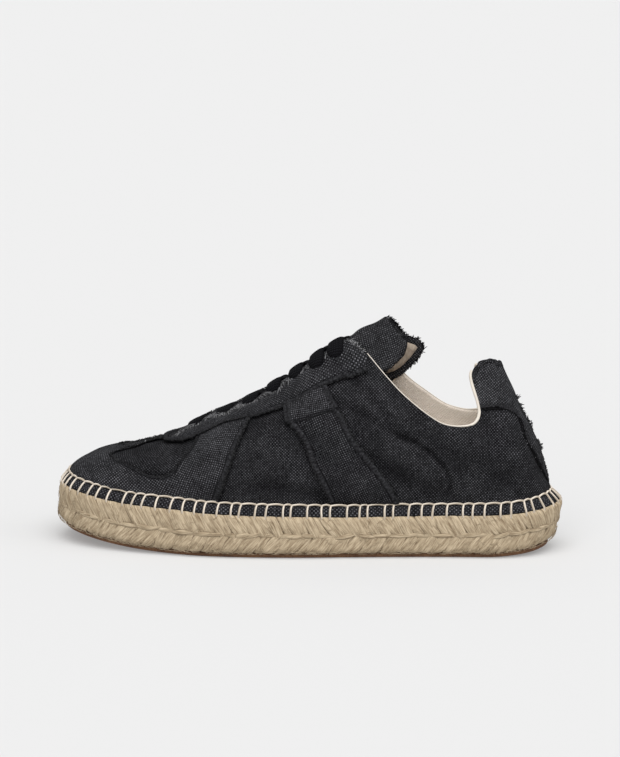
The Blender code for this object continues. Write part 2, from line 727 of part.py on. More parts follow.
def make_lace_bar(number, row, collection, material):
    """One flat bar of lace over the throat, from eyelet to eyelet."""
    x, reach, width, thick = row
    height = EYESTAY_LIFT + OVERLAY + LACE_LIFT
    rings = []
    for place in np.linspace(-1, 1, 9):
        side = -1 if place < 0 else 1
        pattern = pattern_from_top(x, reach * abs(place), side)
        normal = form_normal(pattern)[0]
        ahead = form(pattern + [1.0, 0.0])[0] - form(pattern - [1.0, 0.0])[0]
        ahead /= np.linalg.norm(ahead)
        end = 1 - 0.35 * abs(place) ** 8
        sag = LACE_SAG * max(0.0, 1 - (2 * place) ** 2)
        centre = form(pattern)[0] + normal * (height + thick / 2 - sag)
        ring = []
        for k in range(LACE_SIDES):
            angle = 2 * math.pi * k / LACE_SIDES
            wide = math.copysign(abs(math.cos(angle)) ** 0.7, math.cos(angle))
            high = math.copysign(abs(math.sin(angle)) ** 0.7, math.sin(angle))
            ring.append(centre + ahead * wide * width / 2 * end + normal * high * thick / 2)
        rings.append(ring)
    count = LACE_SIDES
    faces = []
    for row_index in range(len(rings) - 1):
        for k in range(count):
            nxt = (k + 1) % count
            low, high = row_index * count, (row_index + 1) * count
            faces.append((low + k, low + nxt, high + nxt, high + k))
    faces.append(tuple(range(count)))
    faces.append(tuple(range(len(rings) * count - count, len(rings) * count)))
    obj = make_mesh(f"lace_bar_{number}", np.array(rings).reshape(-1, 3), faces, collection,
                    material)
    face_outwards(obj)
    return obj


# ---- cutters -----------------------------------------------------------------------------
def finish_cutter(name, work, collection):
    """Turn a bmesh into a hidden cutter object."""
    bmesh.ops.recalc_face_normals(work, faces=work.faces)
    mesh = bpy.data.meshes.new(name)
    work.to_mesh(mesh)
    work.free()
    obj = bpy.data.objects.new(name, mesh)
    collection.objects.link(obj)
    obj.hide_render = True
    obj.display_type = "WIRE"
    return obj


def prism(name, outline, way, collection):
    """Cutter from a closed outline of points, pushed along the vector way."""
    work = bmesh.new()
    low = [work.verts.new(np.asarray(point) * MM) for point in outline]
    high = [work.verts.new((np.asarray(point) + way) * MM) for point in outline]
    work.faces.new(low)
    work.faces.new(high)
    for k in range(len(low)):
        nxt = (k + 1) % len(low)
        work.faces.new((low[k], low[nxt], high[nxt], high[k]))
    return finish_cutter(name, work, collection)


def make_window_cutter(side, collection):
    """Prism that stands through the toe piece, over its window."""
    u = column(TOE_WINDOW, 0) * side
    points = on_upper(u, column(TOE_WINDOW, 1))
    points[:, 2] = 25.0
    name = "window_outer" if side < 0 else "window_inner"
    return prism(name, points, np.array([0.0, 0.0, 60.0]), collection)


def make_heel_cutter(collection):
    """Prism across the shoe that leaves the heel patch its T shape."""
    outline = [(x, -60.0, z) for x, z in HEEL_BORDER]
    outline += [(138.2, -60.0, 20.0), (80.0, -60.0, 20.0), (80.0, -60.0, 84.0)]
    return prism("heel_border", outline, np.array([0.0, 120.0, 0.0]), collection)


def make_eyelet_cutter(collection):
    """Fourteen pegs through eyestay and upper, where the laces go in."""
    work = bmesh.new()
    for x, reach, _, _ in LACE_BARS:
        for side in (-1, 1):
            pattern = pattern_from_top(x, reach, side)
            centre = Vector(form(pattern)[0] * MM)
            turn = Vector((0, 0, 1)).rotation_difference(Vector(form_normal(pattern)[0]))
            peg = bmesh.ops.create_cone(work, cap_ends=True, segments=6, radius1=EYELET * MM,
                                        radius2=EYELET * MM, depth=9.0 * MM)
            for vertex in peg["verts"]:
                vertex.co = turn @ vertex.co + centre
    return finish_cutter("eyelet_pegs", work, collection)


def main():
    clear_scene()
    parts = make_collection("espadrille_sneaker")
    cutters = make_collection("cutters")
    canvas = make_material("charcoal_canvas", (0.045, 0.045, 0.048), 0.9)
    panel = make_material("charcoal_canvas_panel", (0.055, 0.055, 0.058), 0.9)
    rope = make_material("jute", (0.55, 0.43, 0.28), 0.9)
    rubber = make_material("brown_rubber", (0.18, 0.10, 0.06), 0.6)
    cotton = make_material("cream_cotton", (0.62, 0.54, 0.45), 0.9)
    lace = make_material("black_cotton_lace", (0.012, 0.012, 0.013), 0.85)
    pegs = make_eyelet_cutter(cutters)
    windows = [make_window_cutter(side, cutters) for side in (-1, 1)]
    make_outsole(parts, rubber)
    make_jute(parts, rope)
    make_insole(parts, cotton)
    make_upper(parts, canvas, pegs)
    make_toe_overlay(parts, panel, windows)
    make_eyestay(parts, panel, pegs)
    make_side_stripe("side_stripe_outer", -1, parts, panel)
    make_side_stripe("side_stripe_inner", 1, parts, panel)
    make_heel_patch(parts, panel, make_heel_cutter(cutters))
    make_tongue(parts, canvas)
    for number, row in enumerate(LACE_BARS, start=1):
        make_lace_bar(number, row, parts, lace)


main()
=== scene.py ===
# %% [markdown]
# # Dressing a canvas espadrille sneaker
# The CAD model gives the sneaker its sizes. This lesson puts cloth, rope and thread on it: a canvas
# upper with raw, frayed panels, a cotton lining, flat laces, a braided jute sole, a blanket stitch
# and a thin rubber outsole. It is a left shoe: its toe points along -X, its outer side faces -Y.
# Sizes are in millimetres until a helper turns them into metres.

# %% Load the frame
import functools
import math
import bmesh
import bpy
import numpy as np
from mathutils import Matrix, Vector


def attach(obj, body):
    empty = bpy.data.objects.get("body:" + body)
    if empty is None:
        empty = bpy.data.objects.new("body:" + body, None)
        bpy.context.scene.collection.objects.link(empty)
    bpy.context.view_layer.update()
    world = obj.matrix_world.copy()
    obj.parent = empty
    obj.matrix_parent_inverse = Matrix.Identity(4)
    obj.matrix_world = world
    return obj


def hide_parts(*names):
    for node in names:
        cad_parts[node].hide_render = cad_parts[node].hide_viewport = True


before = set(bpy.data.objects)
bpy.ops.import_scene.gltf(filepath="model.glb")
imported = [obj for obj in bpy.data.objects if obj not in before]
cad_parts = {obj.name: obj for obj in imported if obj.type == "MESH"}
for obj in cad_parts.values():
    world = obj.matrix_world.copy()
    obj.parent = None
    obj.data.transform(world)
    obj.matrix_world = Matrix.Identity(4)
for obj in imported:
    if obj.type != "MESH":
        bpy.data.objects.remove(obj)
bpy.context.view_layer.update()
MM = 0.001

# %% [markdown]
# ## Camera, floor and light
# The shoe stands in a light tent: a white floor, three broad suns for the softboxes, overhead, in
# front and at the heel, and an even world for the tent itself. Its finishes are node materials, so
# the helpers that build those come first.

# %% A helper for colours and nodes
def linear(hex_colour):
    """sRGB hex colour to linear RGBA."""
    channels = [int(hex_colour[k:k + 2], 16) / 255 for k in (1, 3, 5)]
    return [c / 12.92 if c <= 0.04045 else ((c + 0.055) / 1.055) ** 2.4 for c in channels] + [1.0]


def add_node(tree, kind, *inputs, out=0, **settings):
    """Adds a shader node with its settings and links, and gives one of its outputs.

    Inputs are values or sockets in the node's own order, or named, as in_Scale or in_6.
    """
    node = tree.nodes.new("ShaderNode" + kind)
    named = dict(enumerate(inputs))
    for key, value in settings.items():
        if key.startswith("in_"):
            name = key[3:].replace("_", " ")
            named[int(name) if name.isdigit() else name] = value
        else:
            setattr(node, key, value)
    for name, value in named.items():
        if isinstance(value, bpy.types.NodeSocket):
            tree.links.new(value, node.inputs[name])
        else:
            node.inputs[name].default_value = value
    return node.outputs[out] if len(node.outputs) else node


def new_material(name):
    """An empty node material, and add_node for its tree."""
    material = bpy.data.materials.new(name)
    material.use_nodes = True
    material.node_tree.nodes.clear()
    return material, functools.partial(add_node, material.node_tree)


print("mid grey in linear light:", round(linear("#808080")[0], 3))

# %% [markdown]
# A long lens four metres away keeps the shoe's proportions. The camera stands a little above the
# shoe and a little to its heel's side, and it is shifted so that the shoe fills the picture.

# %% Camera
AZIMUTH, ELEVATION = math.radians(7.0), math.radians(11.0)
DISTANCE, LENS = 4.0, 332.6                # metres, and millimetres of lens
AIM_UP, AIM_RIGHT = 0.0933, 0.0006         # what it looks at, in metres from the origin
back = Vector((math.sin(AZIMUTH) * math.cos(ELEVATION), -math.cos(AZIMUTH) * math.cos(ELEVATION),
               math.sin(ELEVATION)))
up = Vector((-math.sin(AZIMUTH) * math.sin(ELEVATION), math.cos(AZIMUTH) * math.sin(ELEVATION),
             math.cos(ELEVATION)))
camera_data = bpy.data.cameras.new("camera")
camera_data.lens = LENS
camera_data.sensor_width = 36.0
camera = bpy.data.objects.new("camera", camera_data)
bpy.context.scene.collection.objects.link(camera)
camera.rotation_mode = "QUATERNION"
camera.rotation_quaternion = (-back).to_track_quat("-Z", "Y")
right = Vector((math.cos(AZIMUTH), math.sin(AZIMUTH), 0))
camera.location = back * DISTANCE + up * AIM_UP + right * AIM_RIGHT
bpy.context.scene.camera = camera
print("camera at", [round(v, 3) for v in camera.location])

# %% [markdown]
# The floor reaches far behind the shoe, so that no horizon shows. It gives off a little light of
# its own, so that the shadow round the sole stays as faint as in a light tent. The suns are wide,
# so every shadow is soft.

# %% Floor and light
bpy.ops.object.select_all(action="DESELECT")
bpy.ops.mesh.primitive_plane_add(size=14.0, location=(0, 3.0, 0))
floor = bpy.context.object
floor.name = "floor"
paper, add = new_material("white_paper_floor")
glow = add("Emission", in_Color=linear("#ffffff"), in_Strength=0.25)
matt = add("BsdfDiffuse", in_Color=linear("#b3b3b3"))
add("OutputMaterial", add("AddShader", glow, matt))
floor.data.materials.append(paper)

world = bpy.data.worlds.new("light_tent")
world.use_nodes = True
world.node_tree.nodes["Background"].inputs["Color"].default_value = (1, 1, 1, 1)
world.node_tree.nodes["Background"].inputs["Strength"].default_value = 0.50
bpy.context.scene.world = world
bpy.context.scene.view_settings.view_transform = "Standard"


def add_sun(name, strength, spread, direction):
    """A sun with soft edges that shines along direction."""
    data = bpy.data.lights.new(name, "SUN")
    data.energy = strength
    data.angle = math.radians(spread)
    sun = bpy.data.objects.new(name, data)
    sun.rotation_mode = "QUATERNION"
    sun.rotation_quaternion = Vector(direction).to_track_quat("-Z", "Y")
    bpy.context.scene.collection.objects.link(sun)


add_sun("overhead_softbox", 2.1, 60, (-0.10, 0.45, -1.0))
add_sun("front_softbox", 1.0, 50, (0.0, 1.0, -0.8))
add_sun("heel_softbox", 0.5, 50, (-1.0, 0.25, -0.5))
print("suns:", [light.name for light in bpy.data.lights])

# %% [markdown]
# ## The shoe's sizes
# The CAD model's driving sizes come first, because cloth, rope and thread are all laid on the same
# form. The sole's outline, its rim, the ridge over the foot and the arches that come down from it
# are short tables, and smooth curves run through them.

# %% Sizes and tables
LENGTH = 290.0            # sole, toe tip to heel tip
HALF = LENGTH / 2
TIP_Y = 4.0               # the toe tip lies towards the inner side

RUBBER = 3.0              # outsole thickness
RUBBER_INSET = 4.0        # its edge lies inside the rope's
GAP = 0.35                # between pieces that touch
TOE_SPRING = 9.5
HEEL_LIFT = 4.5
FLAT_FROM = -50.0         # the outsole is flat between these two stations
FLAT_TO = 99.0

HEM_INSET = 1.5           # lower edge of the canvas, inside the rope's outline
FEATHER_INSET = 7.0       # upper edge of the slanted hem
HEM_RISE = 5.2
WALL = 1.8                # two layers of canvas and the lining
TONGUE_GAP = 1.0          # between the tongue and the upper over it

TOE_PIVOT = -95.0         # the arches fan out round this station at the toe
HEEL_PIVOT = 95.0         # and round this one at the heel
print("sole:", LENGTH, "mm long, rubber", RUBBER, "mm, cloth", WALL, "mm")

# %% [markdown]
# The sole's outline is two half widths by the distance from the toe tip, and its rim a height. A
# left shoe curves to its inner side at the ball, so the two half widths differ.

# %% Tables of the sole
# Half widths of the rope sole either side of the shoe's axis, by distance from the toe tip.
SOLE_OUTLINE = (
    # from toe, outer, inner
    (0, -TIP_Y, TIP_Y), (6, 17.6, 25.4), (12, 24.6, 32.4), (19, 30.1, 38.0), (31, 36.6, 44.2),
    (43, 41.1, 47.5), (52, 43.6, 49.2), (66, 46.6, 50.6), (78, 48.7, 50.9), (90, 50.2, 50.8),
    (105, 50.9, 49.4), (119, 50.6, 46.6), (143, 48.4, 40.2), (167, 44.6, 34.8),
    (191, 40.6, 31.6), (220, 36.6, 30.6), (240, 34.6, 31.0), (257.5, 33.4, 31.4),
    (270, 30.7, 29.1), (280, 24.9, 22.1), (287, 15.0, 12.3), (290, 1.0, -1.0),
)

# Height of the rope sole's top edge.
SOLE_RIM = (
    # from toe, height
    (0, 33.4), (10, 32.0), (23, 30.4), (35, 29.0), (50, 27.8), (72, 26.9), (90, 25.6),
    (110, 25.0), (154, 24.3), (172, 24.0), (200, 24.4), (241, 24.8), (258, 25.4), (268, 26.2),
    (278, 27.2), (290, 29.0),
)
print("sole's width:", max(outer + inner for _, outer, inner in SOLE_OUTLINE), "mm")

# %% [markdown]
# The upper's form is a ridge along the foot and arches that come down from it to either side. The
# collar's and the throat's edges cut the opening out of it.

# %% Tables of the upper's form
# The ridge over the foot, and past the throat the roof that the collar is cut from.
RIDGE = (
    # x, height, y
    (-145, 42.6, 4.0), (-137, 43.6, 4.0), (-130, 45.0, 4.1), (-123, 47.3, 4.2),
    (-112, 50.0, 4.3), (-102, 52.9, 4.4), (-92, 55.6, 4.5), (-82, 57.9, 4.5),
    (-73, 61.4, 4.5), (-64, 66.9, 4.4), (-55, 71.6, 4.2), (-40, 78.4, 3.8),
    (-26, 85.4, 3.2), (-12, 94.4, 2.6), (2, 104.6, 2.0), (12, 113.0, 1.5), (22, 120.0, 1.0),
    (32, 124.6, 0.6), (45, 127.5, 0.2), (70, 131.0, -0.6), (95, 130.0, -1.0),
    (112, 127.0, -1.0), (145, 118.0, -1.0),
)

# Shape of the arches: how far out they are, as a fraction of the way from ridge to feather
# line, when they have come down by 15 to 90 degrees of a quarter circle.
ARCHES = (
    # x, 15, 30, 45, 60, 75, 90
    (-145, 0.75, 0.845, 0.90, 0.945, 0.98, 1.0),
    (-120, 0.62, 0.78, 0.87, 0.93, 0.98, 1.0),
    (-95, 0.45, 0.68, 0.82, 0.92, 0.98, 1.0),
    (-50, 0.36, 0.62, 0.81, 0.93, 0.99, 1.0),
    (0, 0.37, 0.64, 0.83, 0.96, 1.01, 1.0),
    (45, 0.31, 0.55, 0.76, 0.94, 1.04, 1.0),
    (80, 0.28, 0.50, 0.74, 1.01, 1.11, 1.0),
    (95, 0.21, 0.39, 0.57, 0.93, 1.09, 1.0),
    (120, 0.16, 0.30, 0.46, 0.71, 0.95, 1.0),
    (145, 0.12, 0.23, 0.38, 0.555, 0.84, 1.0),
)

# The collar's edge seen from the side, from the throat's corner to the middle of the back.
COLLAR = (
    # x, height of the outer side, height of the inner side
    (31.7, 117.2, 117.2), (39.1, 110.4, 110.4), (47.0, 102.1, 101.6), (55.6, 93.6, 93.0),
    (65.0, 86.0, 85.4), (74.5, 79.4, 78.6), (81.0, 76.2, 76.0), (88.7, 74.8, 74.8),
    (95.2, 75.2, 75.6), (99.3, 77.6, 78.2), (100.6, 81.7, 82.4), (99.5, 87.0, 87.0),
    (97.6, 92.6, 92.6), (95.8, 98.2, 98.2), (94.8, 102.4, 101.6), (96.1, 105.8, 104.4),
    (98.8, 108.3, 105.8), (102.2, 109.7, 106.7), (105.4, 109.5, 106.7), (107.8, 107.8, 106.2),
    (110.6, 104.0, 104.0),
)

# The throat's edge from above, measured from the ridge.
THROAT = (
    # x, half width
    (-73.0, 0.0), (-72.2, 3.0), (-70.0, 5.6), (-66.5, 7.2), (-40.0, 8.4), (-5.0, 9.0),
    (24.0, 9.5),
)

# Which stretch of the feather line each stretch of the opening is joined to.
STRETCHES = (
    # cells, feather line to x, opening to point
    (9, -82.0, "throat front"),
    (12, 24.0, "throat end"),
    (7, 86.0, "collar low"),
    (3, 112.0, "tab foot"),
    (4, 130.0, "tab corner"),
    (5, 138.0, "back"),
)
print("cells round one side:", sum(cells for cells, _, _ in STRETCHES))

# %% [markdown]
# The panels' edges are lines over cells round the shoe and heights up the upper, so that they stay
# on the cloth wherever the form goes. The tongue and the laces are measured from the ridge.

# %% Tables of the panels, the tongue and the laces
# Where the sewn-on panels end, in cells round the shoe and in t up the upper.
FOREFOOT_REAR = (12.9, 1.6)       # u at the feather line, and how much u grows with t
EYESTAY_EDGE = (
    # u, t
    (0.0, 0.845), (2.8, 0.842), (5.1, 0.835), (8.1, 0.802), (9.4, 0.755), (10.0, 0.730),
    (10.6, 0.728), (11.2, 0.742), (12.3, 0.785), (13.3, 0.765), (14.9, 0.710), (16.0, 0.688),
    (17.1, 0.672), (19.0, 0.660), (20.0, 0.650), (21.0, 0.650), (21.9, 0.750), (22.4, 0.840),
)
EYESTAY_END = 22.4
TOE_WINDOW = (
    # u, t, round the hole that leaves the stem of the T between it and its twin
    (0.6, 0.605), (2.6, 0.505), (4.6, 0.410), (6.45, 0.323), (7.7, 0.280), (8.85, 0.275),
    (9.5, 0.333), (9.75, 0.468), (10.2, 0.590), (10.35, 0.670), (10.3, 0.780), (9.4, 0.860),
    (8.1, 0.900), (5.0, 0.920), (1.2, 0.920), (0.25, 0.800), (0.25, 0.680),
)
SIDE_STRIPE = (
    # t, u of the front edge, u of the rear edge
    (0.02, 20.2, 24.5), (0.12, 19.6, 24.1), (0.22, 19.0, 23.35), (0.29, 18.7, 22.45),
    (0.34, 18.5, 21.55), (0.45, 17.8, 20.7), (0.54, 17.2, 20.1), (0.72, 16.8, 19.3),
)
HEEL_BORDER = (
    # x, height, seen from the side: the T's arm, then its stem down the back
    (96.0, 84.0), (111.0, 83.6), (120.3, 77.4), (125.9, 65.1), (133.4, 49.1), (138.2, 34.0),
)
TONGUE = (
    # x, half width, rise of its middle, of its outer edge and of its inner edge
    (-78.0, 8.4, 0.0, 0.0, 0.0), (-60.0, 11.6, 0.0, 0.0, 0.0), (-20.0, 13.9, 0.0, 0.0, 0.0),
    (14.0, 12.6, 0.0, -0.2, -0.2), (20.0, 12.4, 1.2, -1.0, -0.8), (27.5, 12.6, 3.9, -5.0, -1.5),
    (36.0, 12.8, 4.8, -8.6, -4.0), (45.0, 12.6, 8.4, -5.6, -3.5), (51.0, 12.8, 11.0, -0.6, 0.0),
    (55.0, 13.0, 13.2, 4.0, 4.4), (58.0, 13.2, 14.6, 9.5, 8.6), (61.0, 13.4, 16.0, 16.0, 13.6),
    (64.0, 13.6, 16.0, 22.0, 18.0), (67.0, 13.8, 17.4, 29.0, 25.0),
)

# Laces: seven flat bars across the throat.
LACE_BARS = (
    # x, reach out from the ridge, width, thickness
    (-63.0, 15.0, 8.0, 1.8), (-46.5, 15.5, 8.0, 1.8), (-31.0, 16.0, 8.0, 1.8),
    (-17.0, 16.5, 8.0, 1.8), (-4.0, 17.0, 8.0, 1.8), (8.0, 20.0, 8.5, 2.4),
    (18.0, 19.0, 8.5, 2.4),
)
print("rows that shape the upper:", len(RIDGE) + len(ARCHES) + len(COLLAR) + len(THROAT))

# %% [markdown]
# ## The form under the cloth
# A pattern point is a place on the form pressed flat. Round toe and heel the arches fan out from a
# pivot, as the cloth does over a last. The pair (u, t) runs round the upper from the toe tip, outer
# side negative, and up from the feather line to the opening, so that a panel's edge is one line.

# %% Curves
def slopes(rise):
    """Slopes of a curve through points, level where it turns, from the rises between them."""
    before, after = rise[:-1], rise[1:]
    level = before * after <= 0
    middle = np.where(level, 0.0, 2 * before * after / np.where(level, 1.0, before + after))
    return np.concatenate([rise[:1], middle, rise[-1:]])


def hermite(s, width, low, low_slope, high, high_slope):
    """The smooth curve's value a fraction s of the way between two points."""
    start = (1 + 2 * s) * (1 - s) ** 2 * low + s * (1 - s) ** 2 * width * low_slope
    return start + s * s * (3 - 2 * s) * high + s * s * (s - 1) * width * high_slope


def smooth(rows_x, rows_y, x):
    """Value at x of the smooth curve through the rows, which never overshoots them."""
    rows_x = np.asarray(rows_x, float)
    rows_y = np.asarray(rows_y, float)
    x = np.clip(np.asarray(x, float), rows_x[0], rows_x[-1])
    slope = slopes(np.diff(rows_y) / np.diff(rows_x))
    k = np.clip(np.searchsorted(rows_x, x, side="right") - 1, 0, len(rows_x) - 2)
    width = rows_x[k + 1] - rows_x[k]
    return hermite((x - rows_x[k]) / width, width, rows_y[k], slope[k], rows_y[k + 1],
                   slope[k + 1])


def unit(vectors):
    """The same directions, one long."""
    return vectors / np.maximum(np.linalg.norm(vectors, axis=-1), 1e-9)[..., None]


def run_along(points):
    """How far along a line of points each of them lies."""
    steps = np.linalg.norm(np.diff(points, axis=0), axis=1)
    return np.concatenate([[0], np.cumsum(steps)])


def on_line(points, run, places):
    """Points of a line at places along it."""
    return np.stack([np.interp(places, run, values) for values in np.transpose(points)], axis=-1)


def column(table, index):
    """One column of a table."""
    return np.array([row[index] for row in table], float)


def uv_line(u, t):
    """A line of (u, t) pairs. One of the two may be a single number."""
    return np.stack(np.broadcast_arrays(u, t), axis=1)


print("halfway up a smooth step:", smooth((0, 1, 2), (0, 0, 1), 1.5))

# %% [markdown]
# The outline's two half widths are run through by angle, not by distance, which makes the toe and
# the heel come out round. The rim and the outsole's underside rise at the toe and at the heel.

# %% The sole's outline
def turn_of(from_toe):
    """Angle that stands for a distance from the toe tip, so that both ends come out round."""
    return np.arccos(np.clip(1 - np.asarray(from_toe, float) / HALF, -1, 1))


def rim_height(x):
    """Top edge of the rope sole."""
    return smooth(column(SOLE_RIM, 0) - HALF, column(SOLE_RIM, 1), x)


def floor_height(x):
    """Underside of the outsole: flat, with toe spring and a lifted heel end."""
    x = np.asarray(x, float)
    toe = np.clip((FLAT_FROM - x) / (HALF + FLAT_FROM), 0, 1)
    heel = np.clip((x - FLAT_TO) / (HALF - FLAT_TO), 0, 1)
    return TOE_SPRING * toe ** 2.2 + HEEL_LIFT * heel ** 2


def ridge_height(x):
    return smooth(column(RIDGE, 0), column(RIDGE, 1), x)


def ridge_y(x):
    return smooth(column(RIDGE, 0), column(RIDGE, 2), x)


FINE = 720
TURNS = np.linspace(0, math.pi, FINE + 1)


def outline_loop():
    """The sole's outline as a fine closed loop, outer side first, with its outward normals."""
    rows = turn_of(column(SOLE_OUTLINE, 0))
    x = HALF * -np.cos(TURNS)
    outer = np.stack([x, -smooth(rows, column(SOLE_OUTLINE, 1), TURNS)], axis=1)
    inner = np.stack([x, smooth(rows, column(SOLE_OUTLINE, 2), TURNS)], axis=1)
    loop = np.concatenate([outer, inner[-2:0:-1]])
    along = unit(np.roll(loop, -3, axis=0) - np.roll(loop, 3, axis=0))
    return loop, np.stack([along[:, 1], -along[:, 0]], axis=1)


LOOP, OUTWARD = outline_loop()


def edge_line(side, inset):
    """One side of the outline from toe to heel, moved inwards by inset."""
    index = np.arange(FINE + 1) if side < 0 else -np.arange(FINE + 1)
    return LOOP[index] - OUTWARD[index] * inset


print("sole outline:", len(LOOP), "points")

# %% [markdown]
# At toe and heel the arches fan out from a pivot, and every direction has its own reach to the
# feather line. An arch is one smooth curve from the ridge to that line, with six points on it.

# %% Arches
# The feather line is where the upper meets its hem.
FEATHER = {side: edge_line(side, FEATHER_INSET) for side in (-1, 1)}
FEATHER_X = FEATHER[-1][:, 0]
FEATHER_Z = rim_height(edge_line(-1, 0.0)[:, 0]) + HEM_RISE


def feather_y(x, side):
    """Where the feather line of one side lies at a station."""
    return np.interp(x, FEATHER[side][:, 0], FEATHER[side][:, 1])


def fan(px, py, pivot_x, forward):
    """Distance and direction from a pivot, and the distance of the feather line that way."""
    pivot = np.array([pivot_x, float(ridge_y(pivot_x))])
    dx = (px - pivot[0]) * forward
    dy = py - pivot[1]
    angle = np.arctan2(dy, np.maximum(dx, 0.0))
    reach = np.zeros_like(px)
    for side in (-1, 1):
        line = FEATHER[side]
        keep = (line[:, 0] - pivot[0]) * forward >= -2.0
        rel = line[keep] - pivot
        bearing = np.arctan2(rel[:, 1], rel[:, 0] * forward)
        order = np.argsort(bearing)
        found = np.interp(angle, bearing[order], np.hypot(rel[:, 0], rel[:, 1])[order])
        reach = np.where((dy >= 0) == (side > 0), found, reach)
    return pivot, angle, np.hypot(dx, dy), reach


def arch_out(x, fall):
    """How far out an arch is when it has come down by the fraction fall of a right angle."""
    rows = column(ARCHES, 0)
    values = [np.zeros_like(x)] + [smooth(rows, column(ARCHES, k), x) for k in range(1, 7)]
    values = np.stack(values)
    slope = slopes(np.diff(values, axis=0) * 6)
    k = np.clip((fall * 6).astype(int), 0, 5)
    pick = np.arange(len(x))
    s = np.clip(fall * 6 - k, 0, 1)
    return hermite(s, 1 / 6, values[k, pick], slope[k, pick], values[k + 1, pick],
                   slope[k + 1, pick])


print("feather line:", len(FEATHER_X), "points a side")

# %% [markdown]
# A pattern point's arch says how far out it is. Its height is that of the ridge, less a quarter of
# a cosine wave that ends on the feather line, which leaves the top flat and the wall upright.

# %% The form
NORMAL_STEP = 0.4         # how far apart the places are that give a normal


def form(pattern):
    """Points of the upper's outer form. The pattern is the form pressed flat: (n, 2)."""
    pattern = np.asarray(pattern, float).reshape(-1, 2)
    px, py = pattern[:, 0], pattern[:, 1]
    side = np.where(py < ridge_y(px), -1, 1)
    base = np.stack([px, ridge_y(px)], axis=1)
    edge_y = np.where(side < 0, feather_y(px, -1), feather_y(px, 1))
    rim = np.stack([px, edge_y], axis=1)
    fall = np.abs(py - base[:, 1]) / np.maximum(np.abs(edge_y - base[:, 1]), 1e-6)
    station = px.copy()
    for pivot_x, forward, end in ((TOE_PIVOT, -1, -HALF), (HEEL_PIVOT, 1, HALF)):
        inside = (px - pivot_x) * forward > 0
        pivot, angle, distance, reach = fan(px, py, pivot_x, forward)
        way = np.stack([np.cos(angle) * forward, np.sin(angle)], axis=1)
        base[inside] = pivot
        rim[inside] = (pivot + way * reach[:, None])[inside]
        fall[inside] = (distance / np.maximum(reach, 1e-6))[inside]
        swing = 1 - np.abs(angle) / (math.pi / 2)
        station[inside] = (pivot_x + (end - pivot_x) * swing)[inside]
    fall = np.clip(fall, 0, 1)
    out = arch_out(station, fall)
    spot = base + (rim - base) * out[:, None]
    drop = ridge_height(rim[:, 0]) - np.interp(rim[:, 0], FEATHER_X, FEATHER_Z)
    z = ridge_height(spot[:, 0]) - drop * (1 - np.cos(fall * math.pi / 2))
    return np.column_stack([spot, z])


def form_normal(pattern):
    """Outward normals of the form at pattern points."""
    pattern = np.asarray(pattern, float).reshape(-1, 2)
    dx, dy = np.array([NORMAL_STEP, 0.0]), np.array([0.0, NORMAL_STEP])
    along = form(pattern + dx) - form(pattern - dx)
    across = form(pattern + dy) - form(pattern - dy)
    return unit(np.cross(along, across))


print("top of the vamp:", np.round(form([0.0, float(ridge_y(0.0))])[0], 1), "mm")

# %% [markdown]
# A place given from the side or from above has to be found on the form. It is searched for in the
# pattern, where a line from ridge to rim, or a patch that shrinks round the best point, is tried.

# %% Places seen from the side and from above
def pattern_from_side(x, z, side):
    """Pattern point whose place on the form, seen from the side, is (x, z)."""
    if x <= HEEL_PIVOT:
        middle = float(ridge_y(x))
        ys = middle + (feather_y(x, side) - middle) * np.linspace(0, 1, 400)
        heights = form(np.column_stack([np.full(400, x), ys]))[:, 2]
        return np.array([x, np.interp(-z, -heights, ys)])
    centre = np.array([110.0, 12.0 * side])
    span = np.array([30.0, 24.0])
    for _ in range(6):
        grid_x, grid_y = np.meshgrid(np.linspace(-1, 1, 41), np.linspace(-1, 1, 41))
        trial = centre + np.column_stack([grid_x.ravel(), grid_y.ravel()]) * span
        trial[:, 0] = np.maximum(trial[:, 0], HEEL_PIVOT)
        trial[:, 1] = np.where(trial[:, 1] * side < -1.0, -1.0, trial[:, 1])
        placed = form(trial)
        miss = np.hypot(placed[:, 0] - x, placed[:, 2] - z)
        centre = trial[int(np.argmin(miss))]
        span = span / 6
    return centre


def pattern_from_top(x, half_width, side):
    """Pattern point that lies half_width from the ridge, seen from above."""
    middle = float(ridge_y(x))
    ys = middle + (feather_y(x, side) - middle) * np.linspace(0, 0.7, 300)
    out = np.abs(form(np.column_stack([np.full(300, x), ys]))[:, 1] - middle)
    return np.array([x, np.interp(half_width, out, ys)])


print("ridge at the throat's end:", np.round(form(pattern_from_top(24.0, 0.0, 1))[0], 1))

# %% [markdown]
# The opening's edge is a smooth line through the tables' points, and the feather line is a stretch
# of the outline. Both are divided into even steps.

# %% Lines on the form
def spread(points, cells):
    """Points along a polyline, evenly spaced by length, both ends included."""
    run = run_along(points)
    return on_line(points, run, np.linspace(0, run[-1], cells + 1))


def rounded(points, cells=8):
    """A smooth line through points, with cells steps from each to the next (Catmull-Rom)."""
    points = np.asarray(points, float)
    ends = np.concatenate([2 * points[:1] - points[1:2], points, 2 * points[-1:] - points[-2:-1]])
    s = (np.arange(cells) / cells)[:, None]
    line = []
    for a, b, c, d in zip(ends, ends[1:], ends[2:], ends[3:]):
        line.append(b + 0.5 * s * (c - a + s * (2 * a - 5 * b + 4 * c - d
                                                + s * (3 * b - a - 3 * c + d))))
    return np.concatenate(line + [points[-1:]])


